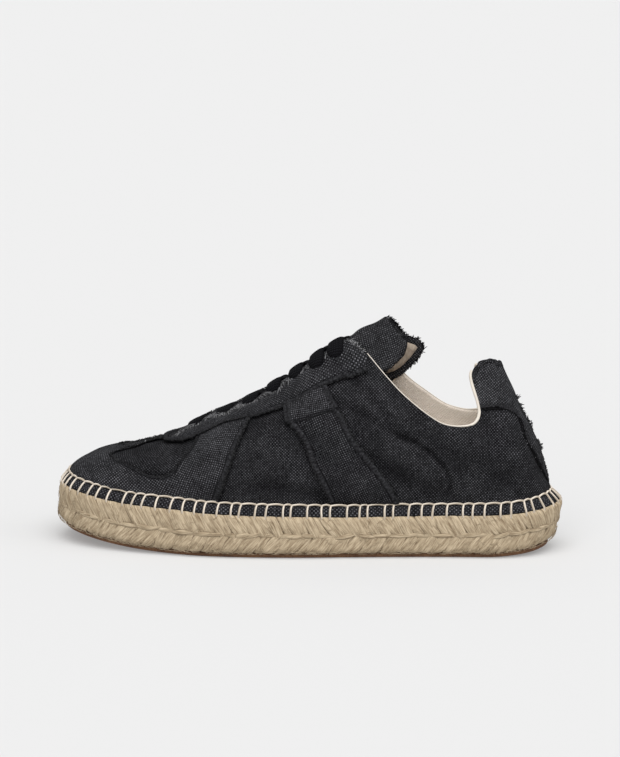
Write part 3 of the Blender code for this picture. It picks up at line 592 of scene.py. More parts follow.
def opening_line(side):
    """Pattern points of the opening on one side, split into the stretches of STRETCHES."""
    throat = [pattern_from_top(x, half, side) for x, half in THROAT]
    height = 1 if side < 0 else 2
    collar = [pattern_from_side(row[0], row[height], side) for row in COLLAR]
    collar[-1] = np.array([collar[-1][0], float(ridge_y(HEEL_PIVOT))])
    # One more point, mirrored over the middle, makes the edge run level across it.
    mirrored = collar[-2] * [1, -1] + [0, 2 * float(ridge_y(HEEL_PIVOT))]
    collar = rounded([throat[-1]] + collar + [mirrored])[:-8]
    return {
        "throat front": rounded(throat[:4]),
        "throat end": throat[3:],
        "collar low": collar[:65],
        "tab foot": collar[64:89],
        "tab corner": collar[88:129],
        "back": collar[128:],
    }


def feather_stretch(side, x_from, x_to, cells):
    """Pattern points on the feather line between two stations."""
    line = FEATHER[side]
    low = int(np.argmin(np.abs(line[:, 0] - x_from)))
    high = int(np.argmin(np.abs(line[:, 0] - x_to)))
    return spread(line[low:high + 1], cells)


print("feather stretch under the laces:", len(feather_stretch(-1, -82.0, 24.0, 12)), "points")

# %% [markdown]
# Each stretch of the feather line is joined to a stretch of the opening. A point (u, t) lies on the
# line between the two, a fraction t of the way up.

# %% Places round the upper
FINER = 8                 # steps in each cell of u


def cell_lines():
    """Feather line and opening, FINER pattern points for every cell of u, by side."""
    lines = {}
    for side in (-1, 1):
        opening = opening_line(side)
        start = -HALF
        foot, top = [], []
        for cells, x_end, name in STRETCHES:
            if name == "back":
                x_end = HALF
            foot.append(feather_stretch(side, start, x_end, cells * FINER)[:-1])
            top.append(spread(opening[name], cells * FINER)[:-1])
            start = x_end
        foot.append(FEATHER[side][-1:])
        top.append(np.array([opening["back"][-1]]))
        lines[side] = (np.concatenate(foot), np.concatenate(top))
    return lines


CELL_LINES = cell_lines()


def pattern_at(u, t):
    """Pattern point of (u, t). Outer side u < 0, inner side u > 0, toe tip u = 0."""
    u, t = np.broadcast_arrays(np.asarray(u, float), np.asarray(t, float))
    result = np.zeros(u.shape + (2,))
    for side in (-1, 1):
        foot, top = CELL_LINES[side]
        count = np.arange(len(foot)) / FINER
        for k in range(2):
            low = np.interp(np.abs(u), count, foot[:, k])
            high = np.interp(np.abs(u), count, top[:, k])
            value = low + (high - low) * t
            result[..., k] = np.where((u < 0) == (side < 0), value, result[..., k])
    return result


def on_upper(u, t):
    """Points of the upper's outer face."""
    pattern = pattern_at(u, t)
    return form(pattern.reshape(-1, 2)).reshape(pattern.shape[:-1] + (3,))


print("collar from the side:", np.round(form(CELL_LINES[-1][1])[::60, ::2], 1).tolist())

# %% [markdown]
# ## Materials
# Each real material gets one procedural finish. Its pattern lies in the UV map, which is in
# millimetres of cloth, rope or thread, so a thread is as wide as it should be on every piece.

# %% A matt surface
def matt_surface(add, colour, height, depth, roughness, specular):
    """A rough surface with a bump of that depth in metres, led to the material's output."""
    bump = add("Bump", in_Height=height, in_Distance=depth)
    add("OutputMaterial", add("BsdfPrincipled", colour, in_Normal=bump, in_Roughness=roughness,
                              in_Specular_IOR_Level=specular))

# %% [markdown]
# The canvas is a washed plain weave. Where a yarn passes over the black ones it shows as a light
# dome, so the weave is a chequerboard of domes in the UV map. Raw edges turn into fuzz. Painted
# shade darkens the stitched grooves and the cloth beside the panels' edges. The proud places are
# painted lighter and the creases darker, partly for washing wear and partly as painted shade.
# Three layers on the vertices say where.

# %% Canvas
CANVAS_PITCH = 0.86       # the real threads lie 0.7 mm apart, and would be too fine to show
WEAVE_DEPTH = 0.00025     # metres


def canvas(name, dark, light):
    """Plain weave: washed yarns show as light domes where they pass over the black ones."""
    material, add = new_material(name)
    spot = add("TexCoord", out="UV")
    # The threads wander a millimetre to either side.
    wander = add("TexNoise", spot, in_Scale=0.09, in_Detail=1.0, out="Color")
    drift = add("VectorMath", wander, (2.2, 2.2, 0), (-1.1, -1.1, 0), operation="MULTIPLY_ADD")
    laid = add("VectorMath", spot, drift)
    axes = add("SeparateXYZ", laid).node.outputs
    x, y = (add("Math", axes[k], CANVAS_PITCH, operation="DIVIDE") for k in (0, 1))
    column_of, row_of = (add("Math", v, operation="FLOOR") for v in (x, y))
    # Every other crossing of the chequerboard is a washed yarn on top, a dome high in its middle.
    over = add("Math", add("Math", column_of, row_of, operation="ADD"), 2.0,
               operation="FLOORED_MODULO")
    waves = []
    for v in (x, y):
        turn = add("Math", add("Math", v, operation="FRACT"), math.pi, operation="MULTIPLY")
        waves.append(add("Math", turn, operation="SINE"))
    dome = add("Math", *waves, operation="MULTIPLY")
    # Each yarn has thick and thin places, each stretch of cloth its wear, each crossing its tone.
    slub = [add("TexNoise", add("Mapping", laid, in_Scale=size), in_Scale=1.0, in_Detail=2.0)
            for size in ((0.15, 1.2, 1.0), (1.2, 0.15, 1.0))]
    worn = add("TexNoise", spot, in_Scale=0.06, in_Detail=4.0, in_Roughness=0.6)
    bright = add("Math", add("MapRange", slub[0], 0.3, 0.7, 0.45, 1.0),
                 add("MapRange", worn, 0.3, 0.7, 0.6, 1.1), operation="MULTIPLY")
    own = add("TexWhiteNoise", add("CombineXYZ", column_of, row_of), noise_dimensions="2D")
    bright = add("Math", bright, add("MapRange", own, 0.0, 1.0, 0.55, 1.35),
                 operation="MULTIPLY")
    dots = add("Math", add("Math", dome, 1.2, operation="POWER"),
               add("Math", over, bright, operation="MULTIPLY"), operation="MULTIPLY")
    warp = add("Math", add("MapRange", slub[1], 0.3, 0.7, 0.0, 0.16),
               add("Math", 1.0, over, operation="SUBTRACT"), operation="MULTIPLY")
    fringe, seam, proud = (add("Attribute", attribute_name=layer, out="Fac")
                           for layer in ("fringe", "seam", "worn"))
    # Wear with painted light and shade: the third layer makes proud places lighter and creases
    # darker, partly washing wear and partly painted shade. The top of its range is painted light on
    # the heel tab.
    weave = add("Math", add("Math", dots, warp, operation="ADD"),
                add("MapRange", proud, -1.4, 3.0, 0.45, 1.92), operation="MULTIPLY")
    fuzz = add("TexNoise", spot, in_Scale=1.0, in_Detail=3.0, in_Roughness=0.6)
    fuzz = add("MapRange", fuzz, 0.40, 0.75, 0.05, 0.30)
    tone = add("Mix", fringe, in_2=weave, in_3=fuzz)
    colour = add("Mix", tone, in_6=linear(dark), in_7=linear(light), data_type="RGBA", out=2)
    # Painted shade: the canvas is painted near black in the stitched grooves and beside the panels'
    # edges.
    colour = add("Mix", add("Math", seam, 0.75, operation="MULTIPLY"), in_6=colour,
                 in_7=linear("#020203"), data_type="RGBA", out=2)
    height = add("Mix", fringe, in_2=dome, in_3=fuzz)
    matt_surface(add, colour, height, WEAVE_DEPTH, 1.0, 0.04)
    return material


CANVAS = canvas("charcoal_canvas", "#040405", "#69696d")
PANEL_CANVAS = canvas("charcoal_canvas_panel", "#050506", "#6f6f73")
TONGUE_CANVAS = canvas("charcoal_canvas_tongue", "#080809", "#7e7e82")
print("canvases:", CANVAS.name, PANEL_CANVAS.name, TONGUE_CANVAS.name)

# %% [markdown]
# A loose yarn is a thread of the same cloth, seen one by one. Its grey is stored with it, because
# some yarns have lost their dye and others have not.

# %% Raw yarn
def yarn_material(name, dark, light):
    """Loose washed yarns: each one has its own grey."""
    material, add = new_material(name)
    shade = add("Attribute", attribute_name="shade", out="Fac")
    colour = add("Mix", shade, in_6=linear(dark), in_7=linear(light), data_type="RGBA", out=2)
    twist = add("Mapping", add("TexCoord", out="UV"), in_Scale=(2.0, 2.0, 1.0))
    twist = add("TexNoise", twist, in_Scale=1.0)
    matt_surface(add, colour, twist, 0.00005, 0.9, 0.1)
    return material


FRAYED = yarn_material("frayed_yarn", "#08080a", "#949496")
print("yarn:", FRAYED.name)

# %% [markdown]
# Lining, collar and insole are undyed cotton twill, brushed until it is soft. Its fine slanting
# ribs only show in a raking light, so most of it is in the bump.

# %% Cotton
def cotton_material(name, dark, light, pitch):
    """Soft cotton twill: fine slanting ribs, and a brushed unevenness."""
    material, add = new_material(name)
    spot = add("TexCoord", out="UV")
    axes = add("SeparateXYZ", spot).node.outputs
    slant = add("Math", add("Math", axes[0], axes[1], operation="ADD"),
                2 * math.pi / (pitch * 1.414), operation="MULTIPLY")
    rib = add("Math", slant, operation="SINE")
    soft = add("TexNoise", spot, in_Scale=0.35, in_Detail=5.0, in_Roughness=0.7)
    colour = add("Mix", add("MapRange", soft, 0.25, 0.75), in_6=linear(dark),
                 in_7=linear(light), data_type="RGBA", out=2)
    colour = add("Mix", add("MapRange", rib, -1.0, 1.0, 0.06, 0.0), in_6=colour,
                 in_7=linear("#6d6257"), data_type="RGBA", out=2)
    height = add("Math", add("Math", rib, 0.12, operation="MULTIPLY"), soft, operation="ADD")
    matt_surface(add, colour, height, 0.0006, 0.95, 0.1)
    return material


COTTON = cotton_material("cream_cotton", "#e4d8c9", "#f1e7dc", 1.2)
ROLL = cotton_material("cream_cotton_roll", "#d0c8bc", "#e2dad0", 1.2)
# A darker copy of the cotton for the tongue's lining, which faces down: painted shade.
COTTON_IN_PAINTED_SHADE = cotton_material("cream_cotton_painted_shade", "#8f8173", "#b3a698", 2.0)
print("cottons:", COTTON.name, ROLL.name, COTTON_IN_PAINTED_SHADE.name)

# %% [markdown]
# The laces are flat braids of black cotton. A braid shows as rows of small slanted stitches that
# meet in the middle of each row, and it takes up hardly any light.

# %% Lace
STITCH_LENGTH, STITCH_ROW = 1.5, 0.9      # of the braid, in millimetres


def lace_material(name):
    """Flat braided cotton lace: small slanted stitches either side of its middle."""
    material, add = new_material(name)
    axes = add("SeparateXYZ", add("TexCoord", out="UV")).node.outputs
    side = add("Math", axes[1], STITCH_ROW, operation="PINGPONG")
    slant = add("Math", axes[0], add("Math", side, 1.0, operation="MULTIPLY"), operation="ADD")
    rib = add("Math", slant, 2 * math.pi / STITCH_LENGTH, operation="MULTIPLY")
    rib = add("Math", rib, operation="SINE")
    rows = add("Math", side, math.pi / STITCH_ROW, operation="MULTIPLY")
    rows = add("Math", rows, operation="SINE")
    height = add("Math", add("MapRange", rib, -1.0, 1.0), rows, operation="MULTIPLY")
    colour = add("Mix", height, in_6=linear("#050506"), in_7=linear("#222225"),
                 data_type="RGBA", out=2)
    matt_surface(add, colour, height, 0.00025, 0.95, 0.05)
    return material


LACE = lace_material("black_cotton_lace")
print("lace:", LACE.name)

# %% [markdown]
# Jute is combed into strands of long dry fibres. They are noise drawn out along the strand, with
# another place in the noise for every strand. The groove between two strands is painted dark
# brown: partly dust, partly painted shade.

# %% Jute
def jute_material(name, dark, light):
    """Jute: coarse fibres along each strand, with edges painted dark brown for dust and shade."""
    material, add = new_material(name)
    shade, groove = (add("Attribute", attribute_name=layer, out="Fac")
                     for layer in ("shade", "groove"))
    # Every strand takes its fibres from another layer of the noise.
    apart = add("CombineXYZ", in_Z=add("Math", shade, 60.0, operation="MULTIPLY"))
    place = add("VectorMath", add("TexCoord", out="UV"), apart)
    fibres = add("TexNoise", add("Mapping", place, in_Scale=(0.14, 2.2, 1.0)), in_Scale=1.0,
                 in_Detail=3.0, in_Roughness=0.7)
    coarse = add("TexNoise", add("Mapping", place, in_Scale=(0.09, 1.0, 1.0)), in_Scale=1.0)
    tone = add("Math", add("Math", fibres, 0.7, operation="MULTIPLY"),
               add("Math", coarse, 0.3, operation="MULTIPLY"), operation="ADD")
    colour = add("Mix", add("MapRange", tone, 0.33, 0.62), in_6=linear(dark),
                 in_7=linear(light), data_type="RGBA", out=2)
    colour = add("Mix", add("MapRange", shade, 0.0, 1.0, 0.14, 0.0), in_6=colour,
                 in_7=linear("#7d6a50"), data_type="RGBA", out=2)
    # The strands' sides and tips are painted dark brown: partly dust, partly painted shade between
    # strands.
    deep = add("Math", add("MapRange", groove, 0.72, 1.0),
               add("MapRange", coarse, 0.3, 0.6, 0.35, 1.0), operation="MULTIPLY")
    colour = add("Mix", deep, in_6=colour, in_7=linear("#4b3b26"), data_type="RGBA", out=2)
    matt_surface(add, colour, fibres, 0.0004, 0.95, 0.1)
    return material


JUTE = jute_material("jute", "#75634d", "#c8b79c")
JUTE_CORE = jute_material("jute_in_the_gaps", "#4c3f2c", "#86745a")
print("jute:", JUTE.name, JUTE_CORE.name)

# %% [markdown]
# The stitching cord is waxed and twisted from three yarns, which show as slanting ridges. The
# outsole's crepe rubber is dull, and a walk outside has worn it lighter in flecks.

# %% Cord and rubber
PLY = 0.9                 # between two ridges of the twist, in millimetres


def thread_material(name):
    """Waxed cotton cord, twisted from three yarns."""
    material, add = new_material(name)
    axes = add("SeparateXYZ", add("TexCoord", out="UV")).node.outputs
    slant = add("Math", add("Math", axes[0], axes[1], operation="ADD"), 2 * math.pi / PLY,
                operation="MULTIPLY")
    height = add("MapRange", add("Math", slant, operation="SINE"), -1.0, 1.0)
    colour = add("Mix", height, in_6=linear("#a89c8c"), in_7=linear("#d9cec0"),
                 data_type="RGBA", out=2)
    matt_surface(add, colour, height, 0.0002, 0.85, 0.2)
    return material


THREAD = thread_material("cream_stitching_cord")


def rubber_material(name):
    """Brown crepe rubber: dull, worn lighter in flecks."""
    material, add = new_material(name)
    spot = add("TexCoord", out="Object")
    grains, patches = (add("TexNoise", add("Mapping", spot, in_Scale=(1000, 1000, 1000)),
                           in_Scale=scale, in_Detail=detail)
                       for scale, detail in ((0.9, 3.0), (0.12, 2.0)))
    tone = add("Math", add("Math", grains, 0.6, operation="MULTIPLY"),
               add("Math", patches, 0.4, operation="MULTIPLY"), operation="ADD")
    colour = add("Mix", add("MapRange", tone, 0.35, 0.65), in_6=linear("#573d2e"),
                 in_7=linear("#7c5c43"), data_type="RGBA", out=2)
    matt_surface(add, colour, grains, 0.0004, 0.8, 0.2)
    return material


RUBBER_BROWN = rubber_material("brown_rubber")
print("materials:", len(bpy.data.materials))

# %% [markdown]
# ## Creases and the soft unevenness of cloth
# A shoe that has been pulled over a foot keeps a few folds, most of them round the instep. Each is
# a trough between two soft ridges along a line in millimetres, and all the layers of cloth follow
# the same relief, so that none comes through another.

# %% Creases and swells
CREASES = (
    # width, depth, then points along the fold
    (2.2, 0.8, ((16, -31, 92), (20, -32, 88), (28, -32, 85), (39, -32, 79.5), (48, -32, 73),
                (56, -33, 69), (63, -33, 66))),
    (1.3, 1.1, ((54, -33, 70), (66, -33, 65), (74, -33, 59.7), (80, -32, 52.7), (84, -31, 45.6),
                (84, -30, 39.4), (82, -29, 34.3))),
    (2.4, 0.9, ((26, -25, 104), (30, -27, 99), (39, -29, 92.4), (44, -30, 84.8), (49, -31, 78.2),
                (56, -32, 70.4), (64, -33, 67))),
    (5.0, 1.2, ((34, -36, 62), (43, -35, 54), (50, -34, 50), (62, -33, 43), (73, -31, 38),
                (82, -30, 36))),
    (3.0, 0.8, ((-36, -44, 38), (-23, -43, 41), (-12, -43, 39.5), (0, -41, 38), (11, -40, 34.9),
                (18, -39, 31))),
    (1.6, 0.6, ((100, -24, 66), (108, -22, 56), (112, -20, 44))),
    (2.0, 0.9, ((30, 33, 72), (40, 34, 60), (52, 33, 50), (66, 31, 40))),
    (1.6, 0.7, ((24, 31, 88), (40, 31, 80), (58, 31, 68), (76, 30, 54))),
)
SWELLS = (
    # length of the wave in mm, height, direction
    (31.0, 0.26, (0.9, 0.2, 0.4)), (23.0, 0.20, (0.3, 0.5, 0.8)), (17.0, 0.12, (-0.6, 0.4, 0.7)),
    (41.0, 0.30, (0.2, -0.3, 0.9)), (13.0, 0.07, (0.8, -0.5, 0.2)),
)
print("creases:", len(CREASES), "swells:", len(SWELLS))

# %% [markdown]
# The swells are slow waves in five directions that never line up. A crease is deepest in the
# middle of its line and fades out at both ends.

# %% Relief
def nearest_on(line, spots):
    """Distance of each spot from a line of points, and how far along it that is, 0 to 1."""
    nearest = np.full(len(spots), 1e9)
    run = np.zeros(len(spots))
    for k in range(len(line) - 1):
        along = line[k + 1] - line[k]
        part = np.clip((spots - line[k]) @ along / max(along @ along, 1e-9), 0, 1)
        away = np.linalg.norm(spots - line[k] - part[:, None] * along, axis=1)
        closer = away < nearest
        nearest = np.where(closer, away, nearest)
        run = np.where(closer, (k + part) / (len(line) - 1), run)
    return nearest, run


def relief(spots):
    """How far the cloth stands off the form at points in millimetres."""
    total = np.zeros(len(spots))
    for number, (length, height, way) in enumerate(SWELLS):
        way = np.array(way) / np.linalg.norm(way)
        total += height * np.sin(spots @ way * 2 * math.pi / length + 1.7 * number)
    for width, depth, line in CREASES:
        nearest, run = nearest_on(np.array(line, float), spots)
        strength = np.sin(math.pi * (0.08 + 0.84 * run)) ** 0.6
        trough = np.exp(-(nearest / width) ** 2)
        ridge = np.exp(-((nearest - 2.1 * width) / width) ** 2)
        total += depth * strength * (0.5 * ridge - trough)
    return total


def on_cloth(u, t, lift=0.0):
    """Points of a layer of cloth at (u, t), lifted off the form and following the relief."""
    pattern = pattern_at(u, t)
    flat = pattern.reshape(-1, 2)
    spots = form(flat)
    lift = np.broadcast_to(lift, pattern.shape[:-1]).ravel()
    raised = spots + form_normal(flat) * (lift + relief(spots))[:, None]
    return raised.reshape(pattern.shape[:-1] + (3,))


def wear_and_crease_shade(u, t):
    """How far the relief stands proud at (u, t): washing wear and painted shade for the canvas."""
    spots = on_upper(u, t)
    return relief(spots.reshape(-1, 3)).reshape(spots.shape[:-1])


print("relief at the middle of the vamp:", np.round(wear_and_crease_shade([0.0], [0.5]), 2), "mm")

# %% [markdown]
# ## Helpers for pieces
# A sheet starts as a grid primitive that is laid on its points. A thing that repeats is modelled
# once and copied into one joined mesh. Both get their finish and their place in the frame here.

# %% Selecting and finishing
def select_only(piece):
    bpy.ops.object.select_all(action="DESELECT")
    piece.select_set(True)
    bpy.context.view_layer.objects.active = piece


def finish_piece(piece, material, slot, *nodes):
    """Gives a piece its finish and its place in the frame. Its slot is not used."""
    piece.data.materials.clear()
    piece.data.materials.append(material)
    select_only(piece)
    bpy.ops.object.shade_smooth()
    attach(piece, "root")
    if nodes:
        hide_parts(*nodes)
    triangles = sum(len(face.vertices) - 2 for face in piece.data.polygons)
    print(f"{piece.name}: {triangles} triangles")
    return piece


def edit_mesh(piece, change):
    """Makes one change to a piece's mesh in bmesh."""
    work = bmesh.new()
    work.from_mesh(piece.data)
    change(work)
    work.to_mesh(piece.data)
    work.free()


def cut_out(piece, keep):
    """Deletes the faces of a sheet that have a corner outside what is kept."""
    edit_mesh(piece, lambda work: bmesh.ops.delete(
        work, context="FACES",
        geom=[face for face in work.faces if not all(keep[v.index] for v in face.verts)]))


def read(items, name, width):
    """A property of a mesh's items, a row for each item."""
    values = np.zeros(len(items) * width)
    items.foreach_get(name, values)
    return values.reshape(-1, width)

# %% [markdown]
# A sheet's points come from numbers, row by row, and the grid primitive brings its faces and its
# UV map with it. Which side faces out is checked against the inside of the shoe.

# %% Sheets
def grid_piece(name, points):
    """A grid primitive whose rows and columns are laid on points, in millimetres."""
    rows, columns = points.shape[:2]
    bpy.ops.object.select_all(action="DESELECT")
    bpy.ops.mesh.primitive_grid_add(x_subdivisions=columns - 1, y_subdivisions=rows - 1, size=1.0)
    piece = bpy.context.object
    piece.name = name
    piece.data.vertices.foreach_set("co", (points * MM).ravel())
    piece.data.update()
    return piece


def set_uv(piece, values):
    """Sets the UV map from one pair for each vertex, in millimetres."""
    data = piece.data
    corner = np.zeros(len(data.loops), int)
    data.loops.foreach_get("vertex_index", corner)
    data.uv_layers[0].data.foreach_set("uv", values.reshape(-1, 2)[corner].ravel())


def set_values(piece, **layers):
    """Stores numbers on a piece's vertices for its finish to read."""
    for name, values in layers.items():
        layer = piece.data.attributes.new(name, "FLOAT", "POINT")
        layer.data.foreach_set("value", np.asarray(values, float).ravel())


def face_out(piece):
    """Turns an open sheet's faces away from the inside of the shoe."""
    centres = read(piece.data.polygons, "center", 3)
    away = centres * [0, 1, 1] - [0, 0, 0.02]
    if np.sum(away * read(piece.data.polygons, "normal", 3)) < 0:
        piece.data.flip_normals()

# %% [markdown]
# Cloth is woven flat, so a sheet is unwrapped before it gets its finish. The map is then scaled to
# millimetres and turned, so that the threads run along the shoe or at the angle of the cut. The toe
# piece, the vamp and the heel patch bend both ways, and the least stretch keeps their weave even.

# %% Unwrapping and thickness
def unwrap(piece, at, turn=0.0, method="CONFORMAL"):
    """Unwraps a sheet, in millimetres, with its first axis along the shoe at the point at."""
    select_only(piece)
    bpy.ops.object.mode_set(mode="EDIT")
    bpy.ops.mesh.select_all(action="SELECT")
    bpy.ops.uv.unwrap(method=method, margin=0.0)
    bpy.ops.object.mode_set(mode="OBJECT")
    data = piece.data
    values = read(data.uv_layers[0].data, "uv", 2)
    spots = read(data.vertices, "co", 3) / MM
    centres = read(data.polygons, "center", 3) / MM
    face = data.polygons[int(np.argmin(np.linalg.norm(centres - np.array(at), axis=1)))]
    corner = list(face.loop_indices)[:3]
    place = spots[[data.loops[k].vertex_index for k in corner]]
    flat = values[corner]
    # The face nearest to the point says which way the shoe runs in the map, and its scale.
    ways = (place[1:] - place[0]).T
    steps = (flat[1:] - flat[0]).T
    across = steps @ np.linalg.lstsq(ways, np.array([1.0, 0.0, 0.0]), rcond=None)[0]
    area = 0.5 * np.linalg.norm(np.cross(ways[:, 0], ways[:, 1]))
    flat_area = 0.5 * abs(steps[0, 0] * steps[1, 1] - steps[0, 1] * steps[1, 0])
    angle = -math.atan2(across[1], across[0]) + math.radians(turn)
    size = math.sqrt(area / flat_area)
    if method == "MINIMUM_STRETCH":
        # This map is even all over, so its scale comes from the whole sheet.
        x, y = values[:, 0].reshape(-1, 4), values[:, 1].reshape(-1, 4)
        flat_area = 0.5 * np.abs((x * (np.roll(y, -1, 1) - np.roll(y, 1, 1))).sum(axis=1)).sum()
        size = math.sqrt(sum(face.area for face in data.polygons) / flat_area) / MM
    spin = np.array([[math.cos(angle), -math.sin(angle)], [math.sin(angle), math.cos(angle)]])
    data.uv_layers[0].data.foreach_set("uv", (values @ spin.T * size).ravel())


def apply_solidify(piece, thickness, offset):
    """Gives a sheet its thickness, inwards for -1 and outwards for 1, and applies it."""
    solid = piece.modifiers.new("thickness", "SOLIDIFY")
    solid.thickness = thickness * MM
    solid.offset = offset
    select_only(piece)
    bpy.ops.object.modifier_apply(modifier=solid.name)

# %% [markdown]
# Strands, fibres and yarn ends come by the hundred. One template is modelled, its points are laid
# on every copy's route, and the copies share one mesh with a shade stored for each.

# %% Copies
def joined_copies(name, template, placed, shades, groove=None):
    """One mesh of many copies of a template, from each copy's points (copies, points, 3)."""
    source = template.data
    copies, count = placed.shape[:2]
    faces = [tuple(face.vertices) for face in source.polygons]
    sizes = np.array([len(face) for face in faces])
    corners = np.concatenate([np.array(face) for face in faces])
    starts = np.concatenate([[0], np.cumsum(sizes)[:-1]])
    mesh = bpy.data.meshes.new(name)
    mesh.vertices.add(copies * count)
    mesh.vertices.foreach_set("co", (placed * MM).ravel())
    mesh.loops.add(copies * len(corners))
    steps = np.arange(copies)[:, None]
    mesh.loops.foreach_set("vertex_index", (corners + steps * count).ravel())
    mesh.polygons.add(copies * len(faces))
    mesh.polygons.foreach_set("loop_start", (starts + steps * len(corners)).ravel())
    flat = read(source.uv_layers[0].data, "uv", 2).ravel()
    mesh.uv_layers.new(name="UVMap").data.foreach_set("uv", np.tile(flat, copies))
    values = {"shade": np.repeat(shades, count)}
    if groove is not None:
        values["groove"] = np.tile(groove, copies)
    for key, value in values.items():
        mesh.attributes.new(key, "FLOAT", "POINT").data.foreach_set("value", value)
    mesh.update(calc_edges=True)
    mesh.validate()
    piece = bpy.data.objects.new(name, mesh)
    bpy.context.scene.collection.objects.link(piece)
    bpy.data.objects.remove(template, do_unlink=True)
    return piece

# %% [markdown]
# A yarn is so thin that three sides are enough, and it thins out to its end. A cord is seen close
# up, so it is a curve with a round bevel, turned into a mesh.

# %% Yarns and cords
YARN_SIDES = 3
YARN_TIP = 0.4                            # how thick its end is, as a fraction of its root
ANY_WAY = np.array([0.13, 0.41, 0.9])     # no yarn runs this way


def yarns(name, routes, radii, shades):
    """Many thin yarns in one mesh, from their routes (yarns, steps, 3). Each is a cylinder."""
    steps = routes.shape[1]
    bpy.ops.object.select_all(action="DESELECT")
    bpy.ops.mesh.primitive_cylinder_add(vertices=YARN_SIDES, radius=1.0, depth=1.0)
    template = bpy.context.object
    edit_mesh(template, lambda work: bmesh.ops.subdivide_edges(
        work, cuts=steps - 2, edges=[edge for edge in work.edges
                                     if abs(edge.verts[0].co.z - edge.verts[1].co.z) > 0.5]))
    corner = np.array([vertex.co for vertex in template.data.vertices])
    place = np.rint((corner[:, 2] + 0.5) * (steps - 1)).astype(int)
    angle = np.arctan2(corner[:, 1], corner[:, 0])
    way = unit(np.gradient(routes, axis=1))
    aside = unit(np.cross(way, ANY_WAY))
    over = np.cross(way, aside)
    thin = np.asarray(radii)[:, None] * (1 - (1 - YARN_TIP) * np.linspace(0, 1, steps) ** 2)
    ring = aside[:, place] * np.cos(angle)[:, None] + over[:, place] * np.sin(angle)[:, None]
    placed = routes[:, place] + ring * thin[:, place, None]
    return joined_copies(name, template, placed, shades)


def cord(name, lines, radius, resolution, swelling=None):
    """Round cords along lines of points, in one mesh, from a curve with a bevel."""
    curve = bpy.data.curves.new(name, "CURVE")
    curve.dimensions = "3D"
    curve.bevel_depth = radius * MM
    curve.bevel_resolution = resolution
    curve.use_fill_caps = True
    for line in lines:
        points = curve.splines.new("POLY").points
        points.add(len(line) - 1)
        points.foreach_set("co", np.column_stack([line * MM, np.ones(len(line))]).ravel())
        if swelling is not None:
            points.foreach_set("radius", swelling)
    piece = bpy.data.objects.new(name, curve)
    bpy.context.scene.collection.objects.link(piece)
    select_only(piece)
    bpy.ops.object.convert(target="MESH")
    return bpy.context.object

# %% [markdown]
# ## Rope sole
# The sole is jute braid laid in two rows. The upper row leans one way, the lower row the other,
# and a plait of thin lens-shaped strands covers the joint between them. Each strand is one bent
# lens, copied round the sole with its own length and shade over a dark core.

# %% Round the sole
CLOSED_LOOP = np.concatenate([LOOP, LOOP[:1]])
CLOSED_OUTWARD = np.concatenate([OUTWARD, OUTWARD[:1]])
AROUND = run_along(CLOSED_LOOP)
PERIMETER = float(AROUND[-1])


def loop_at(distance, inset=0.0):
    """Points, outward directions and outline x at distances round the sole."""
    distance = np.mod(distance, PERIMETER)
    spot = on_line(CLOSED_LOOP, AROUND, distance)
    way = unit(on_line(CLOSED_OUTWARD, AROUND, distance))
    return spot - way * np.asarray(inset)[..., None], way, spot[..., 0]


TOE_LEAN, HEEL_LEAN = 1.2, 4.0            # how far the side leans in, above and below


def toe_lean(x):
    """How far the side leans in at the toe."""
    return TOE_LEAN * np.clip((-115.0 - x) / (HALF - 115.0), 0, 1)


def round_heel(x):
    """0 along the sole, rising to 1 at the heel tip."""
    return np.clip((x - 112.0) / (HALF - 112.0), 0, 1)


def sole_side(distance, level, out=0.0):
    """Points on the rope's side, by the way round, the fraction of its height, and how far out."""
    _, _, x = loop_at(distance)
    lean = HEEL_LEAN * (1 - np.clip(level, 0, 1)) ** 1.3 * round_heel(x)
    lean += toe_lean(x) * level ** 2
    spot, _, _ = loop_at(distance, lean - out)
    low = floor_height(x) + RUBBER + GAP
    return np.concatenate([spot, (low + (rim_height(x) - 1.0 - low) * level)[..., None]], axis=-1)


print("round the sole:", round(PERIMETER), "mm")

# %% [markdown]
# The core fills the gaps between the strands. It is plain rope in shadow, so a dark sheet does.

# %% Core
# Level on the rope's side and how far out, from the lower edge of the core to its upper edge.
CORE_ROWS = ((0.02, -5.2), (0.1, -3.4), (0.27, -2.6), (0.47, -3.4), (0.72, -2.4), (0.93, -3.0),
             (1.02, -5.0))
around = np.linspace(0, PERIMETER, 361)
core = grid_piece("jute_core", np.stack([sole_side(around, np.full(361, level), out)
                                         for level, out in CORE_ROWS]))
set_uv(core, np.stack([uv_line(around, 20 * level) for level, _ in CORE_ROWS]))
apply_solidify(core, 2.0, -1.0)
finish_piece(core, JUTE_CORE, "jute", "jute_midsole")

# %% [markdown]
# The outsole is a thin slab of crepe rubber, cut a little smaller than the rope and glued under
# it. Its lower edge is rounded off, and it turns in more at the heel.

# %% Outsole
EDGE_ROWS = ((1.0, 0.0), (0.3, 0.3), (0.0, 0.9), (0.0, RUBBER))    # inset of the edge, height
rings = []
_, _, x = loop_at(around)
for extra, rise in EDGE_ROWS:
    spot, _, _ = loop_at(around, RUBBER_INSET + extra + HEEL_LEAN * round_heel(x))
    rings.append(np.column_stack([spot, floor_height(spot[:, 0]) + rise]))
low, high = (np.column_stack([ring[:, 0], 0.0 * x, floor_height(ring[:, 0]) + height])
             for ring, height in ((rings[0], 0.0), (rings[-1], RUBBER)))
rings = [low] + rings + [high]
outsole = grid_piece("rubber_outsole", np.stack(rings))
face_out(outsole)
finish_piece(outsole, RUBBER_BROWN, "brown_rubber", "outsole")

# %% [markdown]
# Each strand is a sphere primitive drawn out to a lens. Its girth falls off slowly, so that the
# strands of a row lie close, and only their tips taper into the braid.

